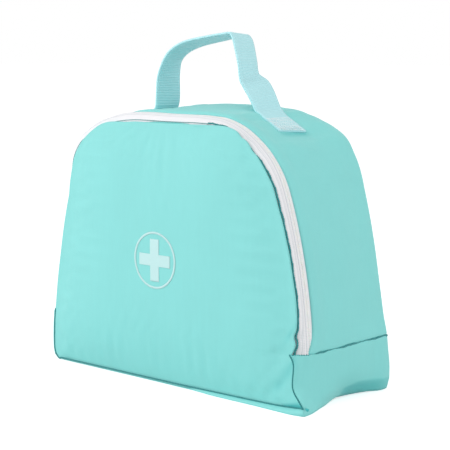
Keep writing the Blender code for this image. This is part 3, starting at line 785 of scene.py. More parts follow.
@dataclass(frozen=True)
class Moulded:
    """Moulded plastic with a fine grain, and a little light passing through it."""

    name: str
    colour: tuple
    roughness: float = 0.32
    depth: float = 0.0015
    see_through: float = 0.0

    def material(self) -> bpy.types.Material:
        """The plastic's material."""
        sheet = NodeSheet(self.name)
        flow = sheet.noise(Grain.FLOW)
        colour = sheet.blend(flow, shade(self.colour, 0.95), shade(self.colour, 1.04))
        grain = sheet.noise(Grain.PLASTIC)
        rough = sheet.maths("MULTIPLY_ADD", grain, 0.12, self.roughness - 0.06)
        sheet.set(Base_Color=colour, Roughness=rough)
        sheet.set(Transmission_Weight=self.see_through, IOR=1.49, Coat_Weight=0.15, Coat_Roughness=0.2)
        if self.see_through == 0.0:
            sheet.set(Subsurface_Weight=0.15, Subsurface_Scale=self.depth)
        sheet.bump([(grain, 0.00004, 0.25), (sheet.noise(Grain.PLASTIC_SWELL), 0.0001, 0.12)])
        return sheet.material


@dataclass(frozen=True)
class PlatedMetal:
    """Nickel-plated metal with fine scratches."""

    name: str
    colour: tuple
    roughness: float = 0.22

    def material(self) -> bpy.types.Material:
        """The metal's material."""
        sheet = NodeSheet(self.name)
        scratch = sheet.noise(Grain.SCRATCH)
        worn = sheet.noise(Grain.METAL_WEAR)
        colour = sheet.blend(worn, shade(self.colour, 0.9), self.colour)
        rough = sheet.maths("MULTIPLY_ADD", scratch, 0.22, self.roughness - 0.08)
        sheet.set(Base_Color=colour, Roughness=rough, Metallic=1.0)
        sheet.bump([(scratch, 0.00003, 0.25)])
        return sheet.material


@dataclass(frozen=True)
class PrintInk:
    """Soft printed ink, with the cloth's weave showing through."""

    name: str
    colour: tuple

    def material(self) -> bpy.types.Material:
        """The ink's material."""
        sheet = NodeSheet(self.name)
        worn = sheet.noise(Grain.INK_WEAR)
        ink = sheet.blend(worn, shade(self.colour, 0.96), self.colour)
        sheet.set(Base_Color=ink, Roughness=0.55)
        sheet.bump([(sheet.noise(Grain.INK_WEAVE), 0.0001, 0.3), (worn, 0.0002, 0.12)])
        return sheet.material


@dataclass(frozen=True)
class Thread:
    """Twisted sewing thread."""

    name: str
    colour: tuple

    def material(self) -> bpy.types.Material:
        """The thread's material."""
        sheet = NodeSheet(self.name)
        twist = sheet.noise(Grain.TWIST)
        yarn = sheet.blend(twist, shade(self.colour, 0.85), self.colour)
        sheet.set(Base_Color=yarn, Roughness=0.5, Sheen_Weight=0.2)
        sheet.bump([(twist, 0.0001, 0.4)])
        return sheet.material


class Dye(Enum):
    """Colours as linear RGB."""

    TURQUOISE = (0.238, 0.700, 0.680)
    # Painted shade in the cloth's folds and along its seams
    PAINTED_FOLD_SHADE = (0.030, 0.47, 0.48)
    # Seam thread drawn dark to stand in for the shade in the seam valleys
    SEAM_SHADE = (0.006, 0.25, 0.26)
    WEBBING = (0.50, 0.86, 0.91)
    WHITE = (0.90, 0.905, 0.93)
    COIL = (0.89, 0.895, 0.87)
    LINING = (0.74, 0.79, 0.80)
    PRINT = (0.53, 0.79, 0.79)
    # Painted shade lines on the zip tapes
    GROOVE_SHADE = (0.42, 0.50, 0.52)
    STITCH = (0.88, 0.95, 0.97)
    BARREL = (0.86, 0.92, 0.94)
    PINK = (0.80, 0.32, 0.43)
    YELLOW = (0.86, 0.62, 0.16)
    NICKEL = (0.72, 0.73, 0.75)
    FOIL = (0.86, 0.88, 0.90)


class Finishes:
    def __init__(self) -> None:
        """Builds the materials."""
        self.cloth = WovenCloth("turquoise_cloth_look", Dye.TURQUOISE.value, Dye.PAINTED_FOLD_SHADE.value).material()
        # Painted shade colour of the lining
        lining_shade = shade(Dye.LINING.value, 0.6)
        lining = WovenCloth("lining_look", Dye.LINING.value, lining_shade, thread=0.0006, sheen=0.05)
        self.lining = lining.material()
        self.web = RibbedWeb("webbing_look", Dye.WEBBING.value).material()
        self.elastic = RibbedWeb("elastic_look", Dye.WHITE.value, rib=0.0016, half_width=0.008).material()
        # Painted shade lines along both tapes
        shade_lines = ((0.0009, 0.0004, 0.55), (0.0021, 0.0003, 0.35), (0.0040, 0.0005, 0.45))
        self.tape_front = ZipTape("zip_tape_front_look", Dye.WHITE.value, shade_lines).material()
        self.tape_rear = ZipTape("zip_tape_rear_look", Dye.WHITE.value, ((-0.0024, 0.0004, 0.5),)).material()
        self.coil = Moulded("zip_coil_look", Dye.COIL.value, roughness=0.38, depth=0.0006).material()
        # Seam thread drawn dark, standing in for the shade in the seam valleys
        self.seam = Thread("seam_shade_thread_look", Dye.SEAM_SHADE.value).material()
        self.stitch = Thread("webbing_thread_look", Dye.STITCH.value).material()
        self.print = PrintInk("print_look", Dye.PRINT.value).material()
        self.metal = PlatedMetal("nickel_look", Dye.NICKEL.value).material()
        self.pink = Moulded("pink_plastic_look", Dye.PINK.value).material()
        self.yellow = Moulded("yellow_plastic_look", Dye.YELLOW.value).material()
        barrel = Moulded("barrel_plastic_look", Dye.BARREL.value, roughness=0.18, see_through=0.35)
        self.barrel = barrel.material()
        self.foil = PlatedMetal("mirror_foil_look", Dye.FOIL.value, roughness=0.1).material()


def note(obj: bpy.types.Object) -> bpy.types.Object:
    """Logs a finished piece, and hands it back."""
    LOG.info("%s: %d faces", obj.name, len(obj.data.polygons))
    return obj


def linked(name: str, data: bpy.types.ID) -> bpy.types.Object:
    """New object at the origin, in the scene."""
    obj = bpy.data.objects.new(name, data)
    bpy.context.scene.collection.objects.link(obj)
    return obj


def stay(obj: bpy.types.Object, body: str) -> bpy.types.Object:
    """Sets a piece on the one body that it stays on, and hands it back."""
    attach(obj, body)
    return obj


def new_object(name: str, mesh: bpy.types.Mesh, material: bpy.types.Material) -> bpy.types.Object:
    """New object at the origin, with one material and smooth faces."""
    obj = linked(name, mesh)
    mesh.materials.clear()
    mesh.materials.append(material)
    mesh.polygons.foreach_set("use_smooth", [True] * len(mesh.polygons))
    return obj


def grid_mesh(name: str, points: Points, flat: Points, flip: bool = False) -> bpy.types.Mesh:
    """Mesh from a grid of points, with the cloth's flat coordinates as its UV map.

    Args:
        name: The mesh's name.
        points: Grid of places, rows by columns by three.
        flat: Grid of flat coordinates in metres, rows by columns by two.
        flip: Whether the faces are turned round.

    Returns:
        The mesh.
    """
    rows, columns = points.shape[:2]
    index = np.arange(rows * columns).reshape(rows, columns)
    corners = [index[:-1, :-1], index[:-1, 1:], index[1:, 1:], index[1:, :-1]]
    if flip:
        corners = corners[::-1]
    faces = np.stack(corners, axis=-1).reshape(-1, 4)
    mesh = bpy.data.meshes.new(name)
    mesh.from_pydata(points.reshape(-1, 3).tolist(), [], faces.tolist())
    layer = mesh.uv_layers.new(name="flat")
    layer.data.foreach_set("uv", flat.reshape(-1, 2)[faces.ravel()].astype(np.float32).ravel())
    mesh.update()
    return mesh


def flat_lengths(points: Points) -> Points:
    """Flat coordinates of a grid: length along its middle row, and along its middle column."""
    rows, columns = points.shape[:2]
    u = run_lengths(points[rows // 2])
    v = run_lengths(points[:, columns // 2])
    return np.stack(np.meshgrid(u - u[-1] / 2, v - v[-1] / 2), axis=-1)


def thicken(obj: bpy.types.Object, thickness: float, offset: float = -1.0) -> None:
    """Gives a sheet its thickness."""
    wall = obj.modifiers.new("wall", "SOLIDIFY")
    wall.thickness = thickness
    wall.offset = offset
    wall.use_even_offset = False


def settled(obj: bpy.types.Object) -> bpy.types.Object:
    """Turns what an object's modifiers make into its plain mesh."""
    graph = bpy.context.evaluated_depsgraph_get()
    mesh = bpy.data.meshes.new_from_object(obj.evaluated_get(graph))
    obj.modifiers.clear()
    old = obj.data
    obj.data = mesh
    bpy.data.meshes.remove(old)
    return obj


def sheet_area(flat: Points) -> tuple[float, float]:
    """Flat width and length of a cloth, from its flat coordinates."""
    return float(np.ptp(flat[..., 0])), float(np.ptp(flat[..., 1]))


@dataclass(frozen=True)
class Puckers:
    """Small wrinkles that a cloth simulation gives a sheet that is sewn down all round.

    A coarse, larger copy of the sheet grows a little between its pinned edges, under light pressure. Only
    the wrinkles are kept: the wide swelling, which the bag's crowns already have, is taken away again.
    """

    growth: float = 0.012
    pressure: float = 1.5
    cap: float = 0.0016
    mesh: float = 0.0052
    scale: float = 10.0
    frames: int = 20
    wide: int = 5
    ripple: float = 0.0003

    def heights(self, points: Points) -> Points:
        """How far each point of a sheet is moved along its normal.

        Args:
            points: Grid of places, rows by columns by three, with its front outwards.

        Returns:
            The heights in metres, rows by columns.
        """
        flat = flat_lengths(points)
        u, v = flat[0, :, 0], flat[:, 0, 1]
        coarse_u = np.linspace(u[0], u[-1], max(int(np.ptp(u) / self.mesh), 8))
        coarse_v = np.linspace(v[0], v[-1], max(int(np.ptp(v) / self.mesh), 8))
        tall = smooth_through(v, points.reshape(len(v), -1), coarse_v).reshape(len(coarse_v), len(u), 3)
        turned = np.swapaxes(tall, 0, 1).reshape(len(u), -1)
        coarse = smooth_through(u, turned, coarse_u).reshape(len(coarse_u), len(coarse_v), 3)
        start = np.swapaxes(coarse, 0, 1)
        normal = grid_normals(start)
        moved = self.simulate(start, normal)
        height = np.sum((moved - start) * normal, axis=-1)
        height = height - self.blurred(height)
        height = self.cap * np.tanh(height / self.cap)
        rows, columns = height.shape
        edge_v = np.minimum(np.arange(rows), np.arange(rows)[::-1])[:, None]
        edge_u = np.minimum(np.arange(columns), np.arange(columns)[::-1])[None, :]
        height = height * ease(np.minimum(edge_v, edge_u), 0.0, 1.6)
        fine = smooth_through(coarse_v, height, v)
        return smooth_through(coarse_u, fine.T, u).T

    def blurred(self, field: Points) -> Points:
        """A field averaged over a wide square, with its edges held."""
        for axis in (0, 1):
            for _ in range(2):
                width = min(self.wide, field.shape[axis] // 2 - 1)
                last = field.shape[axis] - 1
                shifted = [np.clip(np.arange(last + 1) + k, 0, last) for k in range(-width, width + 1)]
                parts = [np.take(field, index, axis) for index in shifted]
                field = sum(parts) / len(parts)
        return field

    def simulate(self, start: Points, normal: Points) -> Points:
        """Runs the cloth, and gives where its points come to rest.

        Args:
            start: Coarse grid of places.
            normal: The outward direction at each.

        Returns:
            The grid after the last frame.
        """
        rows, columns = start.shape[:2]
        row, column = np.meshgrid(np.arange(rows), np.arange(columns), indexing="ij")
        ripple = self.ripple * np.sin(row * 1.9 + 0.7 * np.sin(column * 0.8))
        ripple = ripple * np.sin(column * 1.6 + 1.3 * np.sin(row * 0.5))
        seeded = start + normal * ripple[..., None]
        mesh = grid_mesh("pucker_trial", seeded * self.scale, np.zeros((rows, columns, 2)))
        obj = linked("pucker_trial", mesh)
        sewn = obj.vertex_groups.new(name="sewn")
        rim = (row == 0) | (row == rows - 1) | (column == 0) | (column == columns - 1)
        sewn.add(np.flatnonzero(rim.ravel()).tolist(), 1.0, "REPLACE")
        cloth = obj.modifiers.new("cloth", "CLOTH")
        settings = cloth.settings
        settings.quality = 5
        settings.mass = 0.05
        settings.tension_stiffness = 12.0
        settings.compression_stiffness = 12.0
        settings.shear_stiffness = 4.0
        settings.bending_stiffness = 0.08
        settings.use_pressure = True
        settings.uniform_pressure_force = self.pressure
        settings.shrink_min = -self.growth
        settings.vertex_group_mass = "sewn"
        settings.effector_weights.gravity = 0.0
        cloth.point_cache.frame_start = 1
        cloth.point_cache.frame_end = self.frames
        scene = bpy.context.scene
        for frame_number in range(1, self.frames + 1):
            scene.frame_set(frame_number)
        settled(obj)
        moved = np.empty(rows * columns * 3)
        obj.data.vertices.foreach_get("co", moved)
        bpy.data.objects.remove(obj)
        scene.frame_set(1)
        return moved.reshape(rows, columns, 3) / self.scale


def puckered(points: Points, share: float, flip: bool = False) -> Points:
    """Args:
        points: Grid of places, rows by columns by three.
        share: How much of the simulated wrinkles is kept.
        flip: Whether the grid's front is turned away.

    Returns:
        The grid.
    """
    front = points[:, ::-1] if flip else points
    front = front + grid_normals(front) * share * Puckers().heights(front)[..., None]
    return front[:, ::-1] if flip else front


@dataclass
class ClothPiece:
    """One sheet of cloth, from its grid of points to its thick mesh."""

    name: str
    thickness: float
    flip: bool = False
    size: tuple[float, float] = (0.0, 0.0)

    def build(
        self, points: Points, material: bpy.types.Material, painted_shade: Points | None = None
    ) -> bpy.types.Object:
        """Builds the sheet.

        Args:
            points: Grid of places, rows by columns by three.
            material: Its finish.
            painted_shade: How dark each point is drawn as painted shade, in folds and along seams, from 0 to
                1, or nothing.

        Returns:
            The sheet's object.
        """
        flat = flat_lengths(points)
        obj = new_object(self.name, grid_mesh(self.name, points, flat, self.flip), material)
        # Painted shade: how dark each point is drawn, kept as a point attribute that the cloth's material
        # reads
        depth = np.zeros(points.shape[:2]) if painted_shade is None else np.clip(painted_shade, 0.0, 1.0)
        layer = obj.data.attributes.new("painted_shade", "FLOAT", "POINT")
        layer.data.foreach_set("value", depth.astype(np.float32).ravel())
        thicken(obj, self.thickness)
        self.size = sheet_area(flat)
        return obj

    def declare(
        self, obj: bpy.types.Object, slot: str, body: str, node: str, **more: float
    ) -> bpy.types.Object:
        """Hides the CAD node that a cloth stands in for, sets the cloth on its body, and hands it back."""
        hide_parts(node)
        stay(obj, body)
        return obj

    def dome_area(self) -> float:
        """Flat area of a dome-shaped cloth."""
        return self.size[0] * self.size[1] * DOME_SHARE


def rolled(points: Points, outs: Sequence[Points], backs: Sequence[float], tucks: Sequence[float]) -> Points:
    """Adds a rolled hem to the columns and rows at the edge of a grid.

    Args:
        points: Grid of places.
        outs: Outward directions at the left, right, bottom and top edges.
        backs: How far back each ring of the hem goes, along +Y.
        tucks: How far outwards each ring goes.

    Returns:
        The grid with its hems.
    """
    back = np.array([0.0, 1.0, 0.0])
    for place, out in enumerate(outs):
        axis = 1 if place < 2 else 0
        at_start = place % 2 == 0
        edge = np.take(points, 0 if at_start else -1, axis=axis)
        rings = [edge + back * b + out * t for b, t in zip(backs, tucks)]
        stack = np.stack(rings[::-1] if at_start else rings, axis=axis)
        points = np.concatenate([stack, points] if at_start else [points, stack], axis=axis)
    return points


@dataclass
class Shell:
    """The bag's cloths: front, back, gusset, base and their linings."""

    finishes: Finishes
    step: float = 0.0022
    edge: float = 0.003
    cloth: float = 0.0012
    lining: float = 0.0005
    hem_back: tuple = (0.0006, 0.0013, 0.0022)
    hem_tuck: tuple = (0.0003, 0.0001, -0.0006)
    lining_floor: float = 0.0032
    # How far a cloth dips at a seam, and how far in from its edge the dip and the waves reach
    seam_dip: float = 0.0010
    seam_reach: float = 0.0016
    wave_reach: float = 0.012
    # How far the gusset's hem stands proud by the zip, how much less towards the left, and where that is
    hem_proud: float = 0.0009
    hem_sunk: float = 0.0006
    hem_sunk_from: tuple = (-0.110, -0.090)
    hem_sunk_to: tuple = (-0.045, -0.030)
    front_wave: Wave = Wave(0.0003, (95, 60, 0), (-30, 70, 1.0))
    back_wave: Wave = Wave(0.0005, (80, -40, 0), (25, 60, 0))
    gusset_wave: Wave = Wave(0.00045, (70, 90, 0), (-20, 80, 0))
    # Slanting creases and upright dents in the front, by its pulled-out corner
    corner_dents: tuple = (
        Mound(0.108, 0.019, 0.010, 0.0035, 0.0011, (0.6, 0.8)),
        Mound(0.098, 0.012, 0.009, 0.003, 0.0008, (0.6, 0.8)),
        Mound(0.1185, 0.006, 0.0050, 0.006, 0.0028),
        Mound(0.104, 0.030, 0.007, 0.012, 0.0007),
    )
    # Shaded folds of the front, whose height is how dark they are
    fold_shades: tuple = (
        Mound(0.112, 0.0265, 0.0070, 0.0034, 0.30, (0.55, 0.835)),
        Mound(0.104, 0.0165, 0.0055, 0.0030, 0.26, (0.55, 0.835)),
        Mound(0.1165, 0.0345, 0.0040, 0.0012, 0.35, (0.55, 0.835)),
        Mound(0.1135, 0.0520, 0.0075, 0.0012, 0.30, (0.55, 0.835)),
    )
    # Stretches down the side of the base, as shares, and through its depth in millimetres
    side_parts: tuple = ((0.0, 0.06, 4), (0.06, 0.6, 12), (0.6, 0.7, 5), (0.7, 1.0, 9))
    depth_parts: tuple = ((-47.0, -43.0, 10), (-43.0, -36.0, 7), (-36.0, 44.0, 38), (44.0, 47.0, 5))

    @property
    def lining_inset(self) -> float:
        """How far the edges of the front's and the back's linings stand inside the seams."""
        return self.cloth + self.lining + 3 * GAP

    def stations(self) -> tuple[Points, Points, Points]:
        """Shares across a panel, ways down its lower sides, and lengths up its outline."""
        form = FORM
        share = spacing(-1.0, 1.0, self.step / form.seam_half_width, self.edge / form.seam_half_width)
        low = spacing(0.0, 1.0, self.step / form.seam_height, self.edge / form.seam_height)[:0:-1]
        return share, low, spacing(form.top_half, form.upper, self.step, self.edge)[::-1]

    def spanned(self, left: Points, right: Points, inset: float) -> tuple[Points, Points, Points, Points]:
        """Spans a panel between its two edges.

        Args:
            left: The x and z of its left edge, from the floor up.
            right: The same of its right edge.
            inset: How far the grid's edges stand inside the seams.

        Returns:
            The grid's x and z, and the outward directions of its left and right edges.
        """
        share, low, length = self.stations()
        below = facing(len(low), 1.0, 0.0)
        out_right = np.concatenate([below, FORM.outward(length)])
        out_left = out_right * np.array([-1.0, 0.0, 1.0])
        left = left - out_left[:, [0, 2]] * inset
        right = right - out_right[:, [0, 2]] * inset
        t = ((share + 1) / 2)[None, :]
        x = left[:, :1] * (1 - t) + right[:, :1] * t
        return x, left[:, 1:] * (1 - t) + right[:, 1:] * t, out_left, out_right

    def front_points(self, inset: float = 0.0, depth: float | None = None) -> tuple[Points, Points, Points]:
        """Grid of the front cloth.

        Args:
            inset: How far the grid's edge stands inside the seam.
            depth: Depth of its outer face at the seams, or the bag's own.

        Returns:
            The grid, and the outward directions of its left and right edges.
        """
        form = FORM
        depth = form.half if depth is None else depth
        share, low, length = self.stations()
        front = np.full(len(length), -form.half)
        below_left = form.base(low * 0.9 - 2, np.full(len(low), -form.half))[:, [0, 2]]
        below_right = form.base(2 - low * 0.7, np.full(len(low), -form.half))[:, [0, 2]]
        above_left = form.band(-length, front)[:, [0, 2]]
        above_right = form.band(length, front)[:, [0, 2]]
        left = np.concatenate([below_left, above_left])
        right = np.concatenate([below_right, above_right])
        x, z, out_left, out_right = self.spanned(left, right, inset)
        bottom = np.concatenate([low, np.zeros(len(length))])[:, None]
        z = z + bottom**3 * (form.bottom_lift(x) - z) * (1 - np.abs(share[None, :]) ** 10)
        top = np.concatenate([np.zeros(len(low)), ease(length, form.upper * 0.6, form.top_half)])[:, None]
        on_top = np.clip(x, -form.top_half, form.top_half)
        crest = form.band(on_top, np.full_like(x, -form.half))[..., 2] - inset
        z = z + top**3 * (crest - z)
        swell = form.swell(share[None, :], z)
        y = -(depth + form.front_crown * swell)
        y = y + self.front_dents(x, z) * np.minimum(swell * 4, 1.0)
        return np.stack([x, y, z], axis=-1), out_left, out_right

    def front_dents(self, x: Points, z: Points) -> Points:
        """How far the front cloth is dented in, by the pulled-out corner and in soft waves elsewhere."""
        return sum(dent.at(x, z) for dent in self.corner_dents) + self.front_wave.at(x, z)

    def front_shade(self, x: Points, z: Points) -> Points:
        """Painted shade of the front cloth: how dark it is drawn, in a wedge by the pulled-out corner and in
        its soft dents.
        """
        low = FORM.bottom_lift(x)
        rise = 0.0008 + 0.0030 * ease(x, 0.100, 0.123)
        corner_wedge_shade = 1.6 * ease(x, 0.080, 0.112) * fade(z, low + rise * 0.6, low + rise * 1.5)
        total = 0.55 * corner_wedge_shade
        for painted_fold in self.fold_shades:
            total = total + painted_fold.at(x, z)
        return total

    def build_front(self) -> bpy.types.Object:
        """Front cloth, from the floor to the zip, which folds down at the base seam."""
        points, out_left, out_right = self.front_points()
        down = np.array([0.0, 0.0, -1.0])
        points = puckered(points, 0.7)
        points = rolled(points, (out_left, out_right, down, -down), self.hem_back, self.hem_tuck)
        # Painted shade in the front's folds and a painted shadow line along its hem by the zip
        painted_shade = self.front_shade(points[..., 0], points[..., 2])
        painted_shade = np.maximum(painted_shade, 0.9 * ease(points[..., 1], -0.0461, -0.0453))
        grid = ClothPiece("front_cloth", self.cloth)
        obj = grid.build(points, self.finishes.cloth, painted_shade)
        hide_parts("front_panel", "front_foot")
        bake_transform(obj)
        return obj

    def build_front_lining(self) -> bpy.types.Object:
        """Lining behind the front cloth."""
        points, _, _ = self.front_points(self.lining_inset, FORM.ring_end)
        points[..., 2] = np.maximum(points[..., 2], self.lining_floor)
        grid = ClothPiece("front_lining_cloth", self.lining)
        obj = grid.build(points, self.finishes.lining)
        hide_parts("front_lining", "front_foot_lining")
        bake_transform(obj)
        return obj

    def back_points(self, inset: float, depth: float, crown: float) -> tuple[Points, Points, Points]:
        """Grid of the back cloth, mirrored from the plain outline.

        Args:
            inset: How far the grid's edge stands inside the seam.
            depth: Depth of its outer face at the seams.
            crown: How far it swells.

        Returns:
            The grid, and the outward directions of its left and right edges.
        """
        form = FORM
        share, low, length = self.stations()
        rear = np.full(len(length), form.half)
        low_rear = np.full(len(low), form.half)
        edges = []
        for side in (Side.LEFT, Side.RIGHT):
            above = form.band(side.value * length, rear)[:, [0, 2]]
            edges.append(np.concatenate([form.base_profile(side, low * 0.9, low_rear), above]))
        x, z, out_left, out_right = self.spanned(*edges, inset)
        swell = form.swell(share[None, :], z)
        wave = self.back_wave.at(x, z) * np.minimum(swell * 3, 1.0)
        y = depth + crown * swell + wave
        return np.stack([x, y, z], axis=-1), out_left, out_right

    def build_back(self) -> list[bpy.types.Object]:
        """Back cloth and its lining."""
        points, out_left, out_right = self.back_points(0.0, FORM.half, FORM.back_crown)
        down = np.array([0.0, 0.0, -1.0])
        backs = tuple(-back for back in self.hem_back)
        points = puckered(points, 0.8, flip=True)
        points = rolled(points, (out_left, out_right, down, -down), backs, self.hem_tuck)
        # Painted shadow line along the back's rolled hem
        painted_shade = 0.8 * fade(points[..., 1], 0.0453, 0.0461)
        grid = ClothPiece("back_cloth", self.cloth, flip=True)
        back = grid.build(points, self.finishes.cloth, painted_shade)
        grid.declare(back, "cloth", "root", "back_panel", area=grid.dome_area())
        points, _, _ = self.back_points(self.lining_inset, FORM.ring_end, 0.0)
        points[..., 2] = np.maximum(points[..., 2], self.lining_floor)
        grid = ClothPiece("back_lining_cloth", self.lining, flip=True)
        lining = grid.build(points, self.finishes.lining)
        grid.declare(lining, "lining", "root", "back_lining", area=grid.dome_area())
        return [back, lining]

    def build_gusset(self) -> list[bpy.types.Object]:
        """Gusset cloth from the zip's hem to the back seam, and its lining."""
        form = FORM
        made = []
        end = form.upper - GAP
        length = spacing(-end, end, self.step, self.edge)
        share = spacing(0.0, 1.0, self.step / 0.075, self.edge / 0.075)

        def place(along: Points, across: Points) -> Points:
            """Outer face of the gusset, with its edges drawn in at the seams.

            Args:
                along: Lengths along the outline.
                across: Shares of the way from the zip's hem to the back seam.

            Returns:
                The points.
            """
            hem = form.hem_depth(along)
            y = hem + across * (form.half - 0.0004 - hem)
            from_zip = y - hem
            from_back = form.half - y
            from_base = form.upper - np.abs(along)
            sunk = self.hem_sunk * ease(along, *self.hem_sunk_from) * fade(along, *self.hem_sunk_to)
            proud = self.hem_proud - sunk
            lift = proud * (fade(from_zip, 0.004, 0.012) - fade(from_zip, 0.0, 0.0007))
            lift = lift - self.seam_dip * fade(from_back, 0.0, self.seam_reach)
            lift = lift - self.seam_dip * fade(from_base, 0.0, self.seam_reach)
            wave = self.gusset_wave.at(along, y)
            wave = wave * np.minimum(np.minimum(from_zip, from_back) / self.wave_reach, 1.0)
            return form.band(along, y, lift + wave)

        across, along = np.meshgrid(share, length)
        points = puckered(place(along, across), 0.3)
        # Painted shade along the base seams, and a painted shadow under the end of the handle's right foot
        near = fade(form.upper - np.abs(along), 0.0, self.seam_reach)
        foot_shadow = bell(along, 0.0738, 0.0022) * bell(points[..., 1], 0.005, 0.014, 6)
        painted_shade = np.maximum(0.8 * near, 0.45 * foot_shadow)
        grid = ClothPiece("gusset_cloth", self.cloth)
        obj = grid.build(points, self.finishes.cloth, painted_shade)
        made.append(grid.declare(obj, "cloth", "root", "gusset"))
        lift = -(form.shell_thick + GAP)
        hem = form.hem_depth(along)
        points = form.band(along, hem + across * (form.ring_end - hem), lift)
        grid = ClothPiece("gusset_lining_cloth", self.lining)
        obj = grid.build(points, self.finishes.lining)
        made.append(grid.declare(obj, "lining", "root", "gusset_lining"))
        return made

    def build_base(self) -> list[bpy.types.Object]:
        """Base cloth round both lower sides and the bottom, and its lining."""
        form = FORM
        made = []
        side = stretches(self.side_parts, 1.0)
        flat = np.linspace(-1.0, 1.0, 90)
        share = np.concatenate([-2 + side[:-1], flat, (2 - side[:-1])[::-1]])
        depth = stretches(self.depth_parts, 47.0) * MM
        across, along = np.meshgrid(depth, share)
        points = form.base(along, across)
        seam = fade((2 - np.abs(along)) * 0.045, 0.0, 0.0018)
        points[..., 0] -= np.sign(along) * 0.0010 * seam
        rear = ease(points[..., 1], 0.043, 0.047)
        points[..., 0] -= np.sign(points[..., 0]) * 0.0008 * rear * (np.abs(along) > 1)
        down = 2 - along
        tuck_shade = ease(down, 0.595, 0.64) * (along > 1) * ease(across, -0.001, 0.006)
        painted_fold = bell(down, 0.60, 0.02) * (along > 1) * ease(across, 0.008, 0.016)
        tuck_shade = tuck_shade * (1 - 0.4 * ease(across, 0.020, 0.046))
        corner = bell(down, 0.10, 0.12) * fade(across, -0.047, -0.0425) * (along > 1)
        # Painted shade: darker in the tuck under the right side, along its fold, at the front corner and
        # along the base seams
        painted_shade = 0.62 * tuck_shade + 0.3 * painted_fold + 0.3 * corner + 0.8 * seam
        grid = ClothPiece("base_cloth", self.cloth, flip=True)
        obj = grid.build(points, self.finishes.cloth, painted_shade)
        made.append(grid.declare(obj, "cloth", "root", "base_band"))
        lift = form.shell_thick + GAP
        inner = form.base(along, across * 0.955, bulged=False)
        inner[..., 0] -= np.clip(inner[..., 0] / 0.105, -1, 1) * lift * fade(np.abs(along), 1.0, 0.9)
        inner[..., 2] = np.maximum(inner[..., 2] + lift * fade(np.abs(along), 1.25, 1.5), lift)
        grid = ClothPiece("base_lining_cloth", self.lining, flip=True)
        obj = grid.build(inner, self.finishes.lining)
        made.append(grid.declare(obj, "lining", "root", "base_lining"))
        return made

    def build(self) -> bpy.types.Object:
        """Builds every cloth of the shell.

        Returns:
            The front cloth, which carries the print.
        """
        front = self.build_front()
        made = [front, self.build_front_lining(), *self.build_back()]
        for obj in made + self.build_gusset() + self.build_base():
            note(obj)
        return front


class AlongPath:
    """Geometry Nodes tree that sets one rounded bead after another along paths."""

    def __init__(self, name: str, material: bpy.types.Material, segments: int = 8, rings: int = 5) -> None:
        """Builds the tree.

        Args:
            name: The tree's name.
            material: Finish of the beads.
            segments: Faces round a bead.
            rings: Faces along a bead.
        """
        self.tree = bpy.data.node_groups.new(name, "GeometryNodeTree")
        face = self.tree.interface
        face.new_socket("Geometry", in_out="OUTPUT", socket_type="NodeSocketGeometry")
        face.new_socket("Path", in_out="INPUT", socket_type="NodeSocketGeometry")
        self.inputs = {}
        for label in ("Pitch", "Length", "Width", "Height", "Turn", "Unevenness"):
            socket = face.new_socket(label, in_out="INPUT", socket_type="NodeSocketFloat")
            self.inputs[label] = socket.identifier
        sheet = NodeSheet.on(self.tree)
        given = sheet.add("NodeGroupInput").outputs
        curve = sheet.make("GeometryNodeMeshToCurve", {"Mesh": given["Path"]})
        even = {"Curve": curve, "Length": given["Pitch"]}
        even = sheet.make("GeometryNodeResampleCurve", even, mode="LENGTH")
        bead = {"Segments": segments, "Rings": rings, "Radius": 0.5}
        bead = sheet.make("GeometryNodeMeshUVSphere", bead)
        size = {axis: given[label] for axis, label in zip("XYZ", ("Length", "Width", "Height"))}
        size = sheet.make("ShaderNodeCombineXYZ", size)
        form = sheet.make("GeometryNodeTransform", {"Geometry": bead, "Scale": size})
        tangent = sheet.make("GeometryNodeInputTangent", {})
        out = sheet.make(
            "GeometryNodeInputNamedAttribute", {"Name": "out"}, "Attribute", data_type="FLOAT_VECTOR"
        )
        turn = sheet.make(
            "FunctionNodeAxesToRotation", {"Primary Axis": out, "Secondary Axis": tangent},
            primary_axis="Z", secondary_axis="X",
        )
        chance = {"Min": -1.0, "Max": 1.0, "Seed": 7}
        chance = sheet.make("FunctionNodeRandomValue", chance, "Value", data_type="FLOAT")
        uneven = sheet.maths("MULTIPLY_ADD", chance, given["Unevenness"], given["Turn"])
        angle = sheet.make("ShaderNodeCombineXYZ", {"Z": uneven})
        swing = sheet.make("FunctionNodeEulerToRotation", {0: angle})
        both = sheet.make("FunctionNodeRotateRotation", {0: turn, 1: swing}, rotation_space="LOCAL")
        beads = {"Points": even, "Instance": form, "Rotation": both}
        repeat = sheet.make("GeometryNodeInstanceOnPoints", beads)
        real = sheet.make("GeometryNodeRealizeInstances", {0: repeat})
        finish = sheet.make("GeometryNodeSetMaterial", {"Geometry": real, "Material": material})
        sheet.feed(sheet.add("NodeGroupOutput").inputs["Geometry"], finish)

    def lay(self, name: str, paths: Sequence[tuple[Points, Points]], **sizes: float) -> bpy.types.Object:
        """Sets beads along paths.

        Args:
            name: Name of the object.
            paths: Points of each path, and the outward direction at each point.
            sizes: The tree's inputs, by name.

        Returns:
            A plain mesh object.
        """
        verts, edges, outs = [], [], []
        for points, out in paths:
            first = len(verts)
            verts += np.asarray(points).tolist()
            outs += np.asarray(out).tolist()
            edges += [(first + i, first + i + 1) for i in range(len(points) - 1)]
        mesh = bpy.data.meshes.new(name)
        mesh.from_pydata(verts, edges, [])
        layer = mesh.attributes.new("out", "FLOAT_VECTOR", "POINT")
        layer.data.foreach_set("vector", np.array(outs, dtype=np.float32).ravel())
        obj = linked(name, mesh)
        step = obj.modifiers.new("beads", "NODES")
        step.node_group = self.tree
        for label, value in sizes.items():
            step[self.inputs[label]] = value
        settled(obj)
        obj.data.polygons.foreach_set("use_smooth", [True] * len(obj.data.polygons))
        return obj


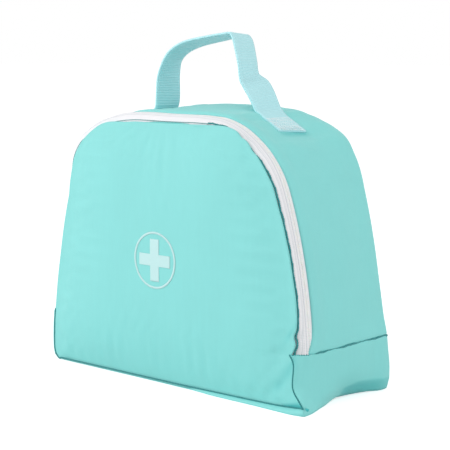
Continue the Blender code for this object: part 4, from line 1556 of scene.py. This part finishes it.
@dataclass
class Zip:
    """Two tapes, two rows of coil, and the slider with its pull."""

    finishes: Finishes
    step: float = 0.0022
    tape: float = 0.0008
    # Depth of each tape's turned-in edge, and the shares of its width between which it turns
    front_turn: tuple = (0.0014, 0.16, 0.36)
    rear_turn: tuple = (0.0012, 0.35, 0.7)
    pucker_height: float = 0.00055
    pucker_pitch: float = 0.0034
    tape_ribs: tuple = ((-0.0396, 0.00045, 0.0005), (-0.0381, 0.00050, 0.0005), (-0.0340, 0.0003, 0.0005))
    coil_width: float = 0.0022
    coil_height: float = 0.0011
    tooth_pitch: float = 0.0013
    slider_length: float = 0.011
    slider_park: float = 0.010

    def tape_points(self, first: float, last: float, front: bool) -> Points:
        """Grid of one tape, with low ribs along it, and turned in at its sewn edge.

        Args:
            first: Depth of its front edge.
            last: Depth of its rear edge.
            front: Whether it is the front tape.

        Returns:
            The grid.
        """
        form = FORM
        end = form.upper - GAP / 2
        length = spacing(-end, end, self.step * 0.5)
        y = np.linspace(first, last, 34 if front else 24)
        across, along = np.meshgrid(y, length)
        t = (across - first) / (last - first)
        deep, start, stop = self.front_turn if front else self.rear_turn
        lift = -deep * (fade(t, start, stop) if front else ease(t, start, stop))
        ribs = sum(height * bell(across, place, wide) for place, height, wide in self.tape_ribs)
        drawn = ease(along, 0.060, 0.068) * fade(along, 0.094, 0.104)
        drawn = drawn * fade(across, -0.0445, -0.0405)
        pucker = self.pucker_height * drawn * np.sin((along - 0.35 * across) * 2 * pi / self.pucker_pitch)
        end = ease(along, 0.203, 0.216) * fade(across, -0.0440, -0.0410)
        return form.band(along, across, lift + ribs + pucker - 0.0014 * end)

    def build_tapes(self) -> list[bpy.types.Object]:
        """Both tapes, each turned in under the cloth that it is sewn to."""
        form = FORM
        gap = GAP / 2
        made = []
        runs = (
            ("zip_tape_front_cloth", "zip_tape_front", "flap", -0.0463, form.zip_line - gap, True),
            ("zip_tape_rear_cloth", "zip_tape_rear", "root", form.zip_line + gap, -0.0252, False),
        )
        for name, node, body, first, last, front in runs:
            grid = ClothPiece(name, self.tape * 0.8)
            look = self.finishes.tape_front if front else self.finishes.tape_rear
            obj = grid.build(self.tape_points(first, last, front), look)
            made.append(grid.declare(obj, "zip_tape", body, node))
        return made

    def build_coils(self) -> list[bpy.types.Object]:
        """Both rows of coil, tooth by tooth, from the slider round to the other end."""
        form = FORM
        tree = AlongPath("zip_tooth_row", self.finishes.coil, 8, 5)
        start = self.slider_park + self.slider_length / 2 + GAP
        length = np.linspace(-(form.upper - start), form.upper - GAP, 420)
        out = form.outward(length)
        made = []
        reach = self.coil_width * 0.62
        for name, node, body, side in (
            ("zip_teeth_front", "zip_coil_front", "flap", -1), ("zip_teeth_rear", "zip_coil_rear", "root", 1)
        ):
            y = np.full(len(length), form.zip_line + side * reach * 0.72)
            shift = 0.0 if side < 0 else self.tooth_pitch / 2
            points = form.band(length + shift, y, GAP * 0.5 + self.coil_height * 0.3)
            obj = tree.lay(
                name, [(points, out)], Pitch=self.tooth_pitch, Length=self.tooth_pitch * 0.82,
                Width=reach * 2, Height=self.coil_height, Turn=0.0, Unevenness=0.02,
            )
            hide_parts(node)
            made.append(stay(obj, body))
        return made

    def build_fringe(self) -> bpy.types.Object:
        """Frayed threads where the tapes are cut off at the right base seam."""
        form = FORM
        y = np.linspace(-0.0458, -0.0368, 40)
        length = np.full(len(y), form.upper - 0.0004)
        points = form.band(length, y, 0.0003)
        points[:, 2] += 0.0004 * np.sin(y * 5200)
        tree = AlongPath("zip_fringe_row", self.finishes.tape_rear, 6, 4)
        obj = tree.lay(
            "zip_fringe", [(points, facing(len(y), 1.0, 0.0))], Pitch=0.0006, Length=0.00045,
            Width=0.0024, Height=0.0004, Turn=0.0, Unevenness=0.45,
        )
        return stay(obj, "root")

    def build(self) -> None:
        """Builds the tapes, the coils and the frayed end."""
        for obj in [*self.build_tapes(), *self.build_coils(), self.build_fringe()]:
            note(obj)


@dataclass
class Handle:
    """Carry handle of webbing: one strap, its two ends sewn flat on the gusset."""

    finishes: Finishes
    width: float = 0.025
    thickness: float = 0.0014
    centre_y: float = 0.0095
    slant: float = 0.0068
    step: float = 0.0013

    def edges(self) -> tuple[Points, Points]:
        """Front and rear edge of the strap, from the end of its left foot to that of its right foot."""
        form = FORM
        front_y = self.centre_y - self.width / 2
        rear_y = self.centre_y + self.width / 2
        loop = np.array([
            (-52.6, 193.9, -53.6, 193.7), (-52.0, 203.0, -52.4, 202.0), (-51.1, 212.7, -52.6, 212.8),
            (-46.4, 224.5, -51.2, 224.8), (-38.0, 234.3, -44.5, 232.0), (-23.2, 240.8, -29.8, 237.6),
            (-0.8, 244.5, -5.0, 242.1), (13.0, 246.2, 8.0, 244.3), (20.4, 246.9, 15.6, 245.2),
            (23.4, 243.4, 19.9, 241.6), (26.6, 234.0, 22.6, 233.0), (28.8, 225.9, 24.2, 226.0),
            (30.6, 214.3, 25.8, 218.3), (33.4, 209.6, 35.2, 212.6), (38.9, 202.5, 40.4, 205.8),
            (42.6, 196.8, 43.8, 199.4), (45.4, 192.2, 46.4, 194.6),
        ]) * MM
        rise = self.thickness / 2 + GAP
        left_foot = np.linspace(-0.0795, -0.0575, 5)
        front_foot = np.linspace(0.0535, 0.0708, 8)
        rear_foot = np.linspace(0.0535, 0.0732, 8)

        def on_bag(length: Points, y: float) -> Points:
            """Edge of a foot lying on the gusset.

            Args:
                length: Lengths along the outline.
                y: Depth of the edge before the foot slants.

            Returns:
                The points.
            """
            end = ease(length, 0.065, 0.0715)
            slant = self.foot_skew(length) * (1.0 if y < self.centre_y else 0.6)
            return form.band(length, y + slant, rise + 0.0004 * end)

        front_loop = np.stack([loop[:, 0], np.full(len(loop), front_y), loop[:, 1]], axis=-1)
        rear_loop = np.stack([loop[:, 2], np.full(len(loop), rear_y), loop[:, 3]], axis=-1)
        front = np.concatenate([on_bag(left_foot, front_y), front_loop, on_bag(front_foot, front_y)])
        rear = np.concatenate([on_bag(left_foot, rear_y), rear_loop, on_bag(rear_foot, rear_y)])
        return front, rear

    def foot_skew(self, length: Points) -> Points:
        """How far towards the front the right foot slants, by length along the outline."""
        return -self.slant * np.clip((length - 0.047) / 0.0285, 0.0, 1.0)

    def strap_points(self) -> Points:
        """Grid of the strap: along its length by across its width."""
        front, rear = self.edges()
        middle = (front + rear) / 2
        run = run_lengths(middle)
        at = np.linspace(0.0, run[-1], int(run[-1] / self.step) + 1)
        front = smooth_through(run, front, at)
        rear = smooth_through(run, rear, at)
        share = np.linspace(0.0, 1.0, 15)[None, :, None]
        points = front[:, None, :] * (1 - share) + rear[:, None, :] * share
        return FORM.outside(points, self.thickness / 2 + GAP)

    def build(self) -> bpy.types.Object:
        """Builds the strap and its stitches."""
        points = self.strap_points()
        flat = flat_lengths(points)[..., ::-1]
        obj = new_object("handle_strap", grid_mesh("handle_strap", points, flat, True), self.finishes.web)
        thicken(obj, self.thickness, 0.0)
        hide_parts("handle_loop", "handle_foot_left", "handle_foot_right")
        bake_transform(obj)
        note(obj)
        self.build_stitches()
        return obj

    def build_stitches(self) -> bpy.types.Object:
        """Dense rows of stitches that hold both feet down."""
        form = FORM
        tree = AlongPath("stitch_row", self.finishes.stitch, 6, 4)
        paths = []
        lift = self.thickness + GAP + 0.0006
        for first, last in ((-0.0785, -0.0600), (0.0550, 0.0703)):
            for i in range(12):
                y = self.centre_y + (i / 11 - 0.5) * (self.width - 0.003)
                length = np.linspace(first, last + 0.0002 * i * (first > 0), 24)
                rise = lift + 0.0008 * ease(length, 0.065, 0.0715)
                uneven = y + self.foot_skew(length) + 0.0004 * np.sin(length * 2400 + i)
                points = form.band(length, uneven, rise)
                paths.append((points, form.outward(length)))
        obj = tree.lay(
            "handle_stitches", paths, Pitch=0.0024, Length=0.0014, Width=0.0008, Height=0.0009, Turn=0.6,
            Unevenness=0.7,
        )
        return note(stay(obj, "root"))


@dataclass
class Emblem:
    """White cross in a thin ring, printed on the front cloth as a general sign for a medical kit."""

    finishes: Finishes
    centre_x: float = -0.0038
    centre_z: float = 0.089
    ring: float = 0.02025
    line: float = 0.0016
    cross: float = 0.0300
    arm: float = 0.0084
    lift: float = 0.00025

    def build(self, cloth: bpy.types.Object) -> bpy.types.Object:
        """Builds the print on the front cloth's own face.

        Args:
            cloth: The front cloth.

        Returns:
            The print.
        """
        graph = bpy.context.evaluated_depsgraph_get()
        tree = BVHTree.FromObject(cloth, graph)
        bm = bmesh.new()
        steps = 128
        inner, outer = [], []
        for i in range(steps):
            angle = 2 * pi * i / steps
            for radius, row in ((self.ring - self.line, inner), (self.ring, outer)):
                row.append(bm.verts.new((radius * cos(angle), 0.0, radius * sin(angle))))
        for i in range(steps):
            j = (i + 1) % steps
            bm.faces.new((outer[i], outer[j], inner[j], inner[i]))
        half, arm = self.cross / 2, self.arm / 2
        count = 28
        values = sorted(set(np.round(np.linspace(-half, half, count), 6)) | {-arm, arm})
        points = {}
        for a in values:
            for b in values:
                if abs(a) <= arm + 1e-6 or abs(b) <= arm + 1e-6:
                    points[a, b] = bm.verts.new((a, 0.0, b))
        for a, a2 in zip(values, values[1:]):
            for b, b2 in zip(values, values[1:]):
                keys = ((a, b), (a, b2), (a2, b2), (a2, b))
                middle = ((a + a2) / 2, (b + b2) / 2)
                if all(key in points for key in keys) and min(abs(middle[0]), abs(middle[1])) < arm:
                    bm.faces.new([points[key] for key in keys])
        bmesh.ops.recalc_face_normals(bm, faces=bm.faces)
        for vert in bm.verts:
            origin = Vector((self.centre_x + vert.co.x, -0.2, self.centre_z + vert.co.z))
            hit = tree.ray_cast(origin, Vector((0.0, 1.0, 0.0)))[0]
            vert.co = hit + Vector((0.0, -self.lift, 0.0))
        bm.normal_update()
        for face in bm.faces:
            if face.normal.y > 0:
                face.normal_flip()
        mesh = bpy.data.meshes.new("emblem_print")
        bm.to_mesh(mesh)
        bm.free()
        obj = new_object("emblem_print", mesh, self.finishes.print)
        thicken(obj, self.lift * 0.8)
        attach(obj, "flap")
        return note(obj)


@dataclass
class SeamShades:
    """Sewing lines in the valleys between the cloths, drawn in dark thread that stands in for the shade in
    those valleys.
    """

    finishes: Finishes
    pitch: float = 0.0015
    bead: float = 0.0024
    end_gap: float = 0.0006
    shoulder: float = 0.040

    def lay(
        self, name: str, paths: Sequence[tuple[Points, Points]], width: float, body: str
    ) -> bpy.types.Object:
        """Sews one line.

        Args:
            name: Its name.
            paths: Points of each stretch, and the outward direction at each point.
            width: How wide it shows.
            body: The body that it rides on.

        Returns:
            The line's object.
        """
        tree = AlongPath(f"{name}_row", self.finishes.seam, 6, 4)
        obj = tree.lay(
            name, paths, Pitch=self.pitch, Length=self.bead, Width=width, Height=width * 0.8, Turn=0.0,
            Unevenness=0.06,
        )
        return note(stay(obj, body))

    def on_band(self, length: Points, y: Points | float, lift: Points | float) -> tuple[Points, Points]:
        """A stretch on the upper band, with its outward directions."""
        return FORM.band(length, np.broadcast_to(y, length.shape), lift), FORM.outward(length)

    def build(self) -> None:
        """Sews every line."""
        form = FORM
        right = np.linspace(self.shoulder, form.upper - self.end_gap, 260)
        left = np.linspace(-form.upper + self.end_gap, self.shoulder, 300)
        sway = wander(right, (0.0002, 620), (0.00015, 1500))
        swelling = 0.0001 + 0.0002 * np.sin(right * 300) * np.sin(right * 97)
        self.lay("front_seam_shade_right", [self.on_band(right, -0.0448 + sway, swelling)], 0.0016, "flap")
        self.lay("front_seam_shade_left", [self.on_band(left, -0.0450, -0.0001)], 0.0006, "flap")
        hem = np.linspace(-form.upper + self.end_gap, form.upper - self.end_gap, 420)
        self.lay("hem_shade_line", [self.on_band(hem, form.hem_depth(hem) - 0.00025, -0.0001)], 0.0005, "root")
        depth = np.linspace(-0.0455, 0.0466, 110)
        sway = wander(depth, (0.0003, 330), (0.0002, 900))
        paths = []
        for side in (-1, 1):
            length = np.full(len(depth), side * form.upper)
            points = form.band(length, depth, 0.0004 + 0.0002 * np.sin(depth * 210 + 1.0))
            points[:, 2] = form.seam_height + sway
            paths.append((points, facing(len(depth), float(side), 0.0)))
        self.lay("base_seam_shade", paths, 0.0021, "root")
        down = np.linspace(0.0, 0.69, 60)
        front = np.full(len(down), -form.half)
        out = facing(len(down), 0.7, -0.7)
        corner = form.base(2 - down, front) + np.array([-0.0002, -0.0002, 0.0])
        mirrored = form.base(down * 1.25 - 2, front) + np.array([0.0002, -0.0002, 0.0])
        corners = [(corner, out), (mirrored, out * np.array([-1.0, 1.0, 0.0]))]
        self.lay("corner_seam_shades", corners, 0.0011, "root")
        x = np.linspace(-0.112, 0.1245, 200)
        points = np.stack([x, np.full(len(x), -0.0479), form.bottom_lift(x) + 0.0012], axis=-1)
        self.lay("bottom_seam_shade", [(points, facing(len(x), 0.0, -1.0))], 0.0013, "root")
        around = np.linspace(-form.upper, form.upper, 420)
        back = [self.on_band(around, 0.0446, -0.0003)]
        rear = np.full(len(down), form.half - 0.0004)
        out = facing(len(down), 0.7, 0.7)
        back.append((form.base(2 - down, rear) - np.array([0.0006, 0.0, 0.0]), out))
        mirrored = form.base(down - 2, rear) + np.array([0.0006, 0.0, 0.0])
        back.append((mirrored, out * np.array([-1.0, 1.0, 0.0])))
        self.lay("back_seam_shade", back, 0.0008, "root")


@dataclass
class InstrumentBand:
    """Wide elastic sewn to the back wall between the instruments, and looped over each of them."""

    finishes: Finishes
    wall_y: float = 0.0438
    low: float = 0.044
    height: float = 0.016
    tail: float = 0.009
    thickness: float = 0.001
    steps: int = 36
    places: tuple = (
        (-0.062, 0.0083, 0.0211), (-0.024, 0.00405, 0.0081),
        (0.008, 0.00405, 0.0081), (0.048, 0.01169, 0.0091),
    )

    def path(self) -> Points:
        """The band's line seen from above, along the wall and over each instrument."""
        line = [(self.places[0][0] - self.places[0][1] - self.tail, self.wall_y)]
        for x, half, depth in self.places:
            for i in range(self.steps + 1):
                angle = pi * i / self.steps
                side = -1 if i < self.steps / 2 else 1
                across = abs(cos(angle)) ** 0.5 * side
                out = max(sin(angle), 0.0) ** 0.5 * (depth + GAP)
                line.append((x + across * (half + GAP), self.wall_y - out))
        line.append((self.places[-1][0] + self.places[-1][1] + self.tail, self.wall_y))
        line = np.array(line)
        run = run_lengths(line)
        at = np.linspace(0.0, run[-1], 420)
        return np.stack([np.interp(at, run, line[:, 0]), np.interp(at, run, line[:, 1])], axis=-1)

    def build(self) -> None:
        """Builds the band and the stitches between its loops."""
        line = self.path()
        rows = np.linspace(0.0, 1.0, 13)
        points = np.zeros((len(rows), len(line), 3))
        points[..., 0] = line[None, :, 0]
        points[..., 1] = line[None, :, 1]
        ruffle = 0.0004 * np.sin(np.arange(len(line)) * 0.55)
        points[..., 2] = self.low + self.height * rows[:, None] + ruffle * (2 * rows[:, None] - 1) ** 3
        piece = ClothPiece("instrument_band", self.thickness)
        obj = piece.build(points, self.finishes.elastic)
        obj.modifiers["wall"].offset = 1.0
        note(piece.declare(obj, "elastic", "root", "elastic_loops"))
        paths = []
        edges = [(x - half - 0.0028, x + half + 0.0028) for x, half, _ in self.places]
        z = np.linspace(self.low + 0.001, self.low + self.height - 0.001, 20)
        for x in [x for pair in edges for x in pair]:
            face = self.wall_y - self.thickness - 0.0002
            points = np.stack([np.full(len(z), x), np.full(len(z), face), z], axis=-1)
            paths.append((points, facing(len(z), 0.0, -1.0)))
        tree = AlongPath("band_stitch_row", self.finishes.stitch, 6, 4)
        stitches = tree.lay(
            "band_stitches", paths, Pitch=0.0018, Length=0.0014, Width=0.0005, Height=0.0004, Turn=0.0,
            Unevenness=0.1,
        )
        note(stay(stitches, "root"))


@dataclass
class Studio:
    """Camera at the photograph's angle, pale floor and soft light."""

    eye: tuple = (0.6612, -0.7140, 0.2388)
    azimuth: float = radians(42.2)
    elevation: float = radians(7.6)
    focal: float = 1354.0
    frame_width: float = 450.0
    ambient: float = 0.72
    key: float = 6.5
    bounce: float = 12.0
    fill: float = 6.0
    glow: float = 0.58
    floor_half: float = 12.0
    sensor: float = 36.0
    clip: tuple = (0.01, 50.0)

    def camera(self) -> None:
        """Creates the camera."""
        data = bpy.data.cameras.new("photo_camera")
        data.sensor_width = self.sensor
        data.lens = self.focal * data.sensor_width / self.frame_width
        data.clip_start, data.clip_end = self.clip
        camera = linked("photo_camera", data)
        flat = cos(self.elevation)
        ahead = Vector((-sin(self.azimuth) * flat, cos(self.azimuth) * flat, -sin(self.elevation)))
        turn = ahead.to_track_quat("-Z", "Y").to_matrix().to_4x4()
        camera.matrix_world = Matrix.Translation(self.eye) @ turn
        bpy.context.scene.camera = camera

    def seen(self, sheet: NodeSheet) -> bpy.types.NodeSocket:
        """1 for what the camera sees, itself or in a mirror or through glass."""
        path = sheet.add("ShaderNodeLightPath")
        total = sheet.maths("ADD", path.outputs["Is Camera Ray"], path.outputs["Is Glossy Ray"])
        return sheet.maths("MINIMUM", sheet.maths("ADD", total, path.outputs["Is Transmission Ray"]), 1.0)

    def floor(self) -> None:
        """Pale floor that keeps the bag's shadow."""
        sheet = NodeSheet("floor_look")
        sheet.set(Roughness=0.9, Specular_IOR_Level=0.0, Emission_Color=(1.0, 1.0, 1.0, 1.0))
        grain = sheet.blend(sheet.noise(Grain.FLOOR), (0.72, 0.72, 0.72), (0.74, 0.74, 0.74))
        sheet.set(Base_Color=grain, Emission_Strength=sheet.maths("MULTIPLY", self.seen(sheet), self.glow))
        size = self.floor_half
        mesh = bpy.data.meshes.new("floor")
        corners = [(-size, -size, 0.0), (size, -size, 0.0), (size, size, 0.0), (-size, size, 0.0)]
        mesh.from_pydata(corners, [], [(0, 1, 2, 3)])
        floor = new_object("floor", mesh, sheet.material)

    def world(self) -> None:
        """Even soft light all round, and a white background."""
        world = bpy.data.worlds.new("studio")
        world.use_nodes = True
        bpy.context.scene.world = world
        back = world.node_tree.nodes["Background"]
        sheet = NodeSheet.on(world.node_tree)
        strength = sheet.maths("MULTIPLY_ADD", self.seen(sheet), 1.0 - self.ambient, self.ambient)
        sheet.feed(back.inputs["Strength"], strength)
        back.inputs["Color"].default_value = (1.0, 1.0, 1.0, 1.0)

    def lamp(self, name: str, place: tuple, power: float, size: float) -> None:
        """Square soft lamp aimed at the bag."""
        data = bpy.data.lights.new(name, "AREA")
        data.energy = power
        data.size = size
        lamp = linked(name, data)
        spot = Vector((0.0, 0.0, 0.1))
        turn = (spot - Vector(place)).to_track_quat("-Z", "Y").to_matrix().to_4x4()
        lamp.matrix_world = Matrix.Translation(place) @ turn

    def build(self) -> None:
        """Builds the studio."""
        self.camera()
        self.floor()
        self.world()
        self.lamp("key_lamp", (-0.55, -1.35, 1.05), self.key, 0.9)
        self.lamp("left_lamp", (-1.3, -1.45, 0.35), self.bounce, 1.1)
        self.lamp("fill_lamp", (1.5, 0.1, 0.8), self.fill, 1.1)
        view = bpy.context.scene.view_settings
        view.view_transform = "Standard"


def dress_hard_parts(finishes: Finishes) -> None:
    """Gives the carried-over CAD nodes their finishes."""
    looks = {
        "zip_slider": finishes.metal, "zip_pull": finishes.metal,
        "mirror_grip": finishes.pink, "mirror_head": finishes.pink, "mirror_glass": finishes.foil,
        "probe_grip": finishes.yellow, "probe_hook": finishes.metal, "forceps_left": finishes.yellow,
        "forceps_right": finishes.yellow, "forceps_rivet": finishes.metal, "syringe_barrel": finishes.barrel,
        "syringe_plunger": finishes.pink,
    }
    for name, material in looks.items():
        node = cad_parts[name]
        node.data.materials.clear()
        node.data.materials.append(material)


def main() -> None:
    """Builds the studio and every piece."""
    logging.basicConfig(level=logging.INFO, format="%(message)s")
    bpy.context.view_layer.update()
    Studio().build()
    finishes = Finishes()
    front = Shell(finishes).build()
    Zip(finishes).build()
    Handle(finishes).build()
    SeamShades(finishes).build()
    InstrumentBand(finishes).build()
    Emblem(finishes).build(front)
    dress_hard_parts(finishes)


if __name__ == "__main__":
    main()
